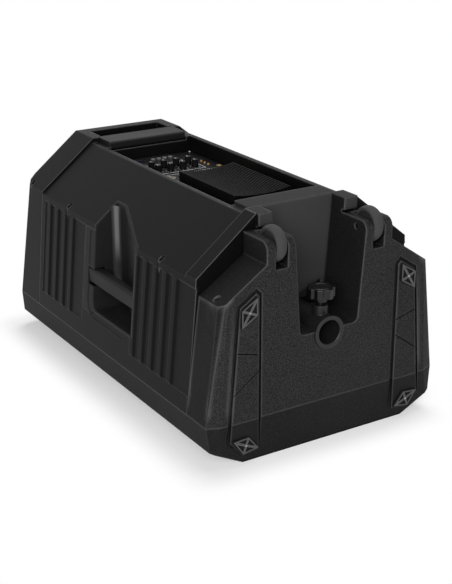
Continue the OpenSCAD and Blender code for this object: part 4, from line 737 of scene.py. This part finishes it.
def cross_screw():
    """A flat head with a chamfer and a crossed slot, on a short shank."""
    profile = [(SHANK_R, SHANK_LOW), (SHANK_R, 0), (HEAD_R, 0), (HEAD_R, CHAMFER_LOW)]
    screw = turned(profile, HEAD_SIDES, lid=False)
    rim = list(screw.verts)[-HEAD_SIDES:]
    brim = [screw.verts.new((v.co.x * BRIM, v.co.y * BRIM, HEAD_H * MM)) for v in rim]
    a, b = CROSS_HALF, CROSS_REACH
    plan = [(b, -a), (b, a), (a, a), (a, b), (-a, b), (-a, a),
            (-b, a), (-b, -a), (-a, -a), (-a, -b), (a, -b), (a, -a)]
    slot = [screw.verts.new((x * MM, y * MM, HEAD_H * MM)) for x, y in plan]
    floor = [screw.verts.new((x * MM, y * MM, (HEAD_H - CROSS_DEEP) * MM)) for x, y in plan]
    edges = [screw.edges.new((loop[i - 1], loop[i])) for loop in (brim, slot) for i in range(len(loop))]
    for i in range(HEAD_SIDES):
        screw.faces.new((rim[i - 1], rim[i], brim[i], brim[i - 1]))
    for i in range(len(plan)):
        screw.faces.new((slot[i - 1], slot[i], floor[i], floor[i - 1]))
    screw.faces.new(floor)
    bmesh.ops.triangle_fill(screw, edges=edges, use_beauty=True)
    return screw


# Handles, feet and clamp

BEAD_R = 1.3
BEAD_SINK = 0.35
BEAD_SIDES = 8
BEAD_Y = 58
BEAD_TOP = (190, 246)
BEAD_LOW = 157
BEAD_BEND = 30
BEND_STEPS = 12
BEAD_FLOOR = 107
BEAD_END = -60
BEAD_SHARP = 60
SEAM_X, SEAM_Z, SIDE_LEAN = 199, 65, 0.09326
FILLET_AT = (143.8, 40.2)
FILLET_Z = (126, 284)
FILLET_R = 13
FILLET_SIDES = 10


def side_point(y, z):
    """A point on the +X side face, from millimetres."""
    return Vector((SEAM_X - SIDE_LEAN * (z - SEAM_Z), y, z)) * MM


def lay_bead(shape, points, outward):
    """A half-round bead along points on a face, sunk a little way into it."""
    loops = []
    for i, point in enumerate(points):
        way = (points[min(i + 1, len(points) - 1)] - points[max(i - 1, 0)]).normalized()
        across = way.cross(outward)
        loop = []
        for step in range(BEAD_SIDES + 1):
            angle = math.pi * step / BEAD_SIDES
            lift = outward * (math.sin(angle) - BEAD_SINK) + across * math.cos(angle)
            loop.append(shape.verts.new(point + lift * BEAD_R * MM))
        loops.append(loop)
    for lower, upper in zip(loops, loops[1:]):
        for step in range(BEAD_SIDES + 1):
            shape.faces.new((lower[step - 1], lower[step], upper[step], upper[step - 1]))
    shape.faces.new(loops[0])
    shape.faces.new(loops[-1])


def lay_fillet(shape, side):
    """A hollow fillet up the inner corner of a side handle."""
    back, wall = Vector((0, -1)), Vector((side, 0))
    plan = [Vector((FILLET_AT[0] * side, FILLET_AT[1]))]
    for step in range(FILLET_SIDES + 1):
        turn = math.pi / 2 * step / FILLET_SIDES
        plan.append(plan[0] + (wall * (1 - math.sin(turn)) + back * (1 - math.cos(turn))) * FILLET_R)
    low, high = ([shape.verts.new((*point * MM, z * MM)) for point in plan] for z in FILLET_Z)
    for i in range(len(plan)):
        shape.faces.new((low[i - 1], low[i], high[i], high[i - 1]))
    shape.faces.new(low)
    shape.faces.new(high)


def edge_handles():
    """Raised lines above and below the tab of each side grip, and a fillet up the handle's inner corner."""
    beads, fillets = bmesh.new(), bmesh.new()
    outward = Vector((1, 0, SIDE_LEAN)).normalized()
    upper = [side_point(BEAD_Y, z) for z in BEAD_TOP]
    lower = [side_point(BEAD_Y, BEAD_LOW)]
    for step in range(BEND_STEPS + 1):
        turn = math.pi / 2 * step / BEND_STEPS
        lower.append(side_point(BEAD_Y - BEAD_BEND * (1 - math.cos(turn)),
                                BEAD_FLOOR + BEAD_BEND * (1 - math.sin(turn))))
    lower.append(side_point(BEAD_END, BEAD_FLOOR))
    for side in (1, -1):
        mirror = Vector((side, 1, 1))
        for points in (upper, lower):
            lay_bead(beads, [p * mirror for p in points], outward * mirror)
        lay_fillet(fillets, side)
    show("handle_beads", beads, handle_plastic, CABINET, BEAD_SHARP)
    show("handle_fillets", fillets, fillet_plastic, CABINET, BEAD_SHARP)


FOOT_PLUG = [(1.6, -2.0), (1.6, 0.0), (1.4, 0.2), (0.8, 0.3), (0.6, 0.1), (0.2, 0.1)]
PLUG_SIDES = 24
CLAMP_CAP = [(13.6, -0.5), (13.6, 0.3), (13.0, 0.8), (12.0, 0.8), (11.4, 0.4), (6.0, 0.2), (1.0, 0.2)]
CAP_SIDES = 64


def foot_middles():
    """The middle of each of the four feet, on its outer face."""
    low, high = (Vector(corner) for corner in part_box("rubber_feet"))
    height = (low.z + high.z) / 2
    middles = []
    for side in (-1, 1):
        for upper in (False, True):
            own = [v.co for v in nodes["rubber_feet"].data.vertices
                   if v.co.x * side > 0 and (v.co.z > height) == upper]
            x = (min(p.x for p in own) + max(p.x for p in own)) / 2
            z = (min(p.z for p in own) + max(p.z for p in own)) / 2
            middles.append((x, low.y, z))
    return middles


def dress_feet_and_clamp():
    """A metal plug in each foot, and a dished cap on the clamp knob."""
    plug = turned(FOOT_PLUG, PLUG_SIDES)
    bmesh.ops.rotate(plug, verts=plug.verts, matrix=Matrix.Rotation(math.pi / 2, 3, "X"))
    show("foot_plugs", spread(plug, foot_middles()), cast_metal, CABINET)
    at = middle("clamp_screw")
    at.z = top("clamp_screw")
    show("clamp_cap", spread(turned(CLAMP_CAP, CAP_SIDES), [at]), clamp_plastic, "screw_body")


# Damping felt

FELT_CELL = 6 * MM
FELT_EASE = 8
FELT_LUMP = 2.5 * MM
FELT_SINK = 0.6
FELT_SCALE = 45


def lay_felt():
    """The damping felt, with the lumps and soft edges of loose wadding."""
    batt = bpy.data.objects.new("felt_batt", nodes["damping_pad"].data.copy())
    scene.collection.objects.link(batt)
    cells = batt.modifiers.new("cells", "REMESH")
    cells.mode, cells.voxel_size = "VOXEL", FELT_CELL
    ease = batt.modifiers.new("ease", "SMOOTH")
    ease.iterations = FELT_EASE
    made = bpy.data.meshes.new_from_object(batt.evaluated_get(bpy.context.evaluated_depsgraph_get()))
    batt.modifiers.clear()
    batt.data = made
    lumps = [noise.noise(v.co * FELT_SCALE) - FELT_SINK for v in made.vertices]
    for vert, normal, lump in zip(made.vertices, [v.normal.copy() for v in made.vertices], lumps):
        vert.co += normal * lump * FELT_LUMP
    made.materials.clear()
    made.materials.append(felt)
    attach(batt, CABINET)
    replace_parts(batt, "damping_pad")


make_grille()
make_knobs()
dress_panel()
edge_handles()
dress_feet_and_clamp()
lay_felt()


# Camera, floor and light

CAMERA_AT = Vector((-0.9612, -1.5900, 0.8339))
CAMERA_AIM = Vector((0.0185, -0.0167, 0.1255))
CAMERA_ROLL = math.radians(-0.12)
CAMERA_LENS = 75.5
CAMERA_SENSOR = 36.0
CAMERA_CLIP = (0.05, 50.0)
FLOOR_HALF = 6.0
FLOOR_DARK, FLOOR_LIGHT = grey(0.94), grey(0.96)
FLOOR_NEAR = 0.0
FLOOR_FAR = 0.06
FLOOR_LIFT = 0.4
WHITE = grey(1.0)
AMBIENT = 0.17
SOFTBOXES = [
    ("overhead", (0.7, 0.4, 2.4), (0, 0, 0.2), 2.0, 48),
    ("left", (-1.7, -2.0, 1.1), (0, -0.2, 0.2), 1.2, 46),
    ("front", (-0.7, -1.7, 1.0), (0, -0.3, 0.2), 0.8, 9),
]


def place_camera():
    lens = bpy.data.cameras.new("camera")
    lens.lens, lens.sensor_width, lens.sensor_fit = CAMERA_LENS, CAMERA_SENSOR, "AUTO"
    lens.clip_start, lens.clip_end = CAMERA_CLIP
    camera = bpy.data.objects.new("camera", lens)
    turn = (CAMERA_AIM - CAMERA_AT).to_track_quat("-Z", "Y").to_matrix().to_4x4()
    camera.matrix_world = Matrix.Translation(CAMERA_AT) @ turn @ Matrix.Rotation(CAMERA_ROLL, 4, "Z")
    scene.collection.objects.link(camera)
    scene.camera = camera


def lay_floor():
    """A white floor that keeps the shadow near the object and is plain white farther out."""
    mesh = bpy.data.meshes.new("floor")
    corners = [(x * FLOOR_HALF, y * FLOOR_HALF, 0) for x, y in ((-1, -1), (1, -1), (1, 1), (-1, 1))]
    mesh.from_pydata(corners, [], [(0, 1, 2, 3)])
    floor = bpy.data.objects.new("floor", mesh)
    scene.collection.objects.link(floor)
    f = Finish("floor_paper", {"Specular IOR Level": 0.0, "Roughness": 0.9})
    f.set("Base Color", f.mix(f.noise(3, 3), FLOOR_DARK, FLOOR_LIGHT))
    across, along = ((abs(f.axis(axis, f.at)) - cad_bounds[1][axis]).most(0) for axis in (0, 1))
    reach = (across * across + along * along) ** 0.5
    lift = (f.ramp(reach, FLOOR_NEAR, FLOOR_FAR) * (1 - FLOOR_LIFT) + FLOOR_LIFT) * f.seen()
    paper = Signal(f, f.shader.outputs[0])
    white = f.node("ShaderNodeEmission", None, {"Color": WHITE, "Strength": 1.0})
    cover = f.node("ShaderNodeMixShader", None, {0: lift, 1: paper, 2: white})
    f.feed(f.tree.nodes["Material Output"].inputs["Surface"], cover)
    mesh.materials.append(f.material)


def hang_softbox(name, at, aim, side, power):
    """A square lamp at one place that shines at another."""
    lamp = bpy.data.lights.new(name, "AREA")
    lamp.shape, lamp.size, lamp.size_y, lamp.energy = "RECTANGLE", side, side, power
    softbox = bpy.data.objects.new(name, lamp)
    softbox.location = at
    softbox.rotation_euler = (Vector(aim) - Vector(at)).to_track_quat("-Z", "Y").to_euler()
    scene.collection.objects.link(softbox)


def light_studio():
    """Softboxes in a room that looks white and itself gives little light."""
    world = bpy.data.worlds.new("studio")
    world.use_nodes = True
    room = Nodes(world.node_tree)
    backdrop = room.tree.nodes["Background"]
    backdrop.inputs["Color"].default_value = WHITE
    room.feed(backdrop.inputs["Strength"], AMBIENT + room.seen() * (1 - AMBIENT))
    scene.world = world
    for softbox in SOFTBOXES:
        hang_softbox(*softbox)


place_camera()
lay_floor()
light_studio()
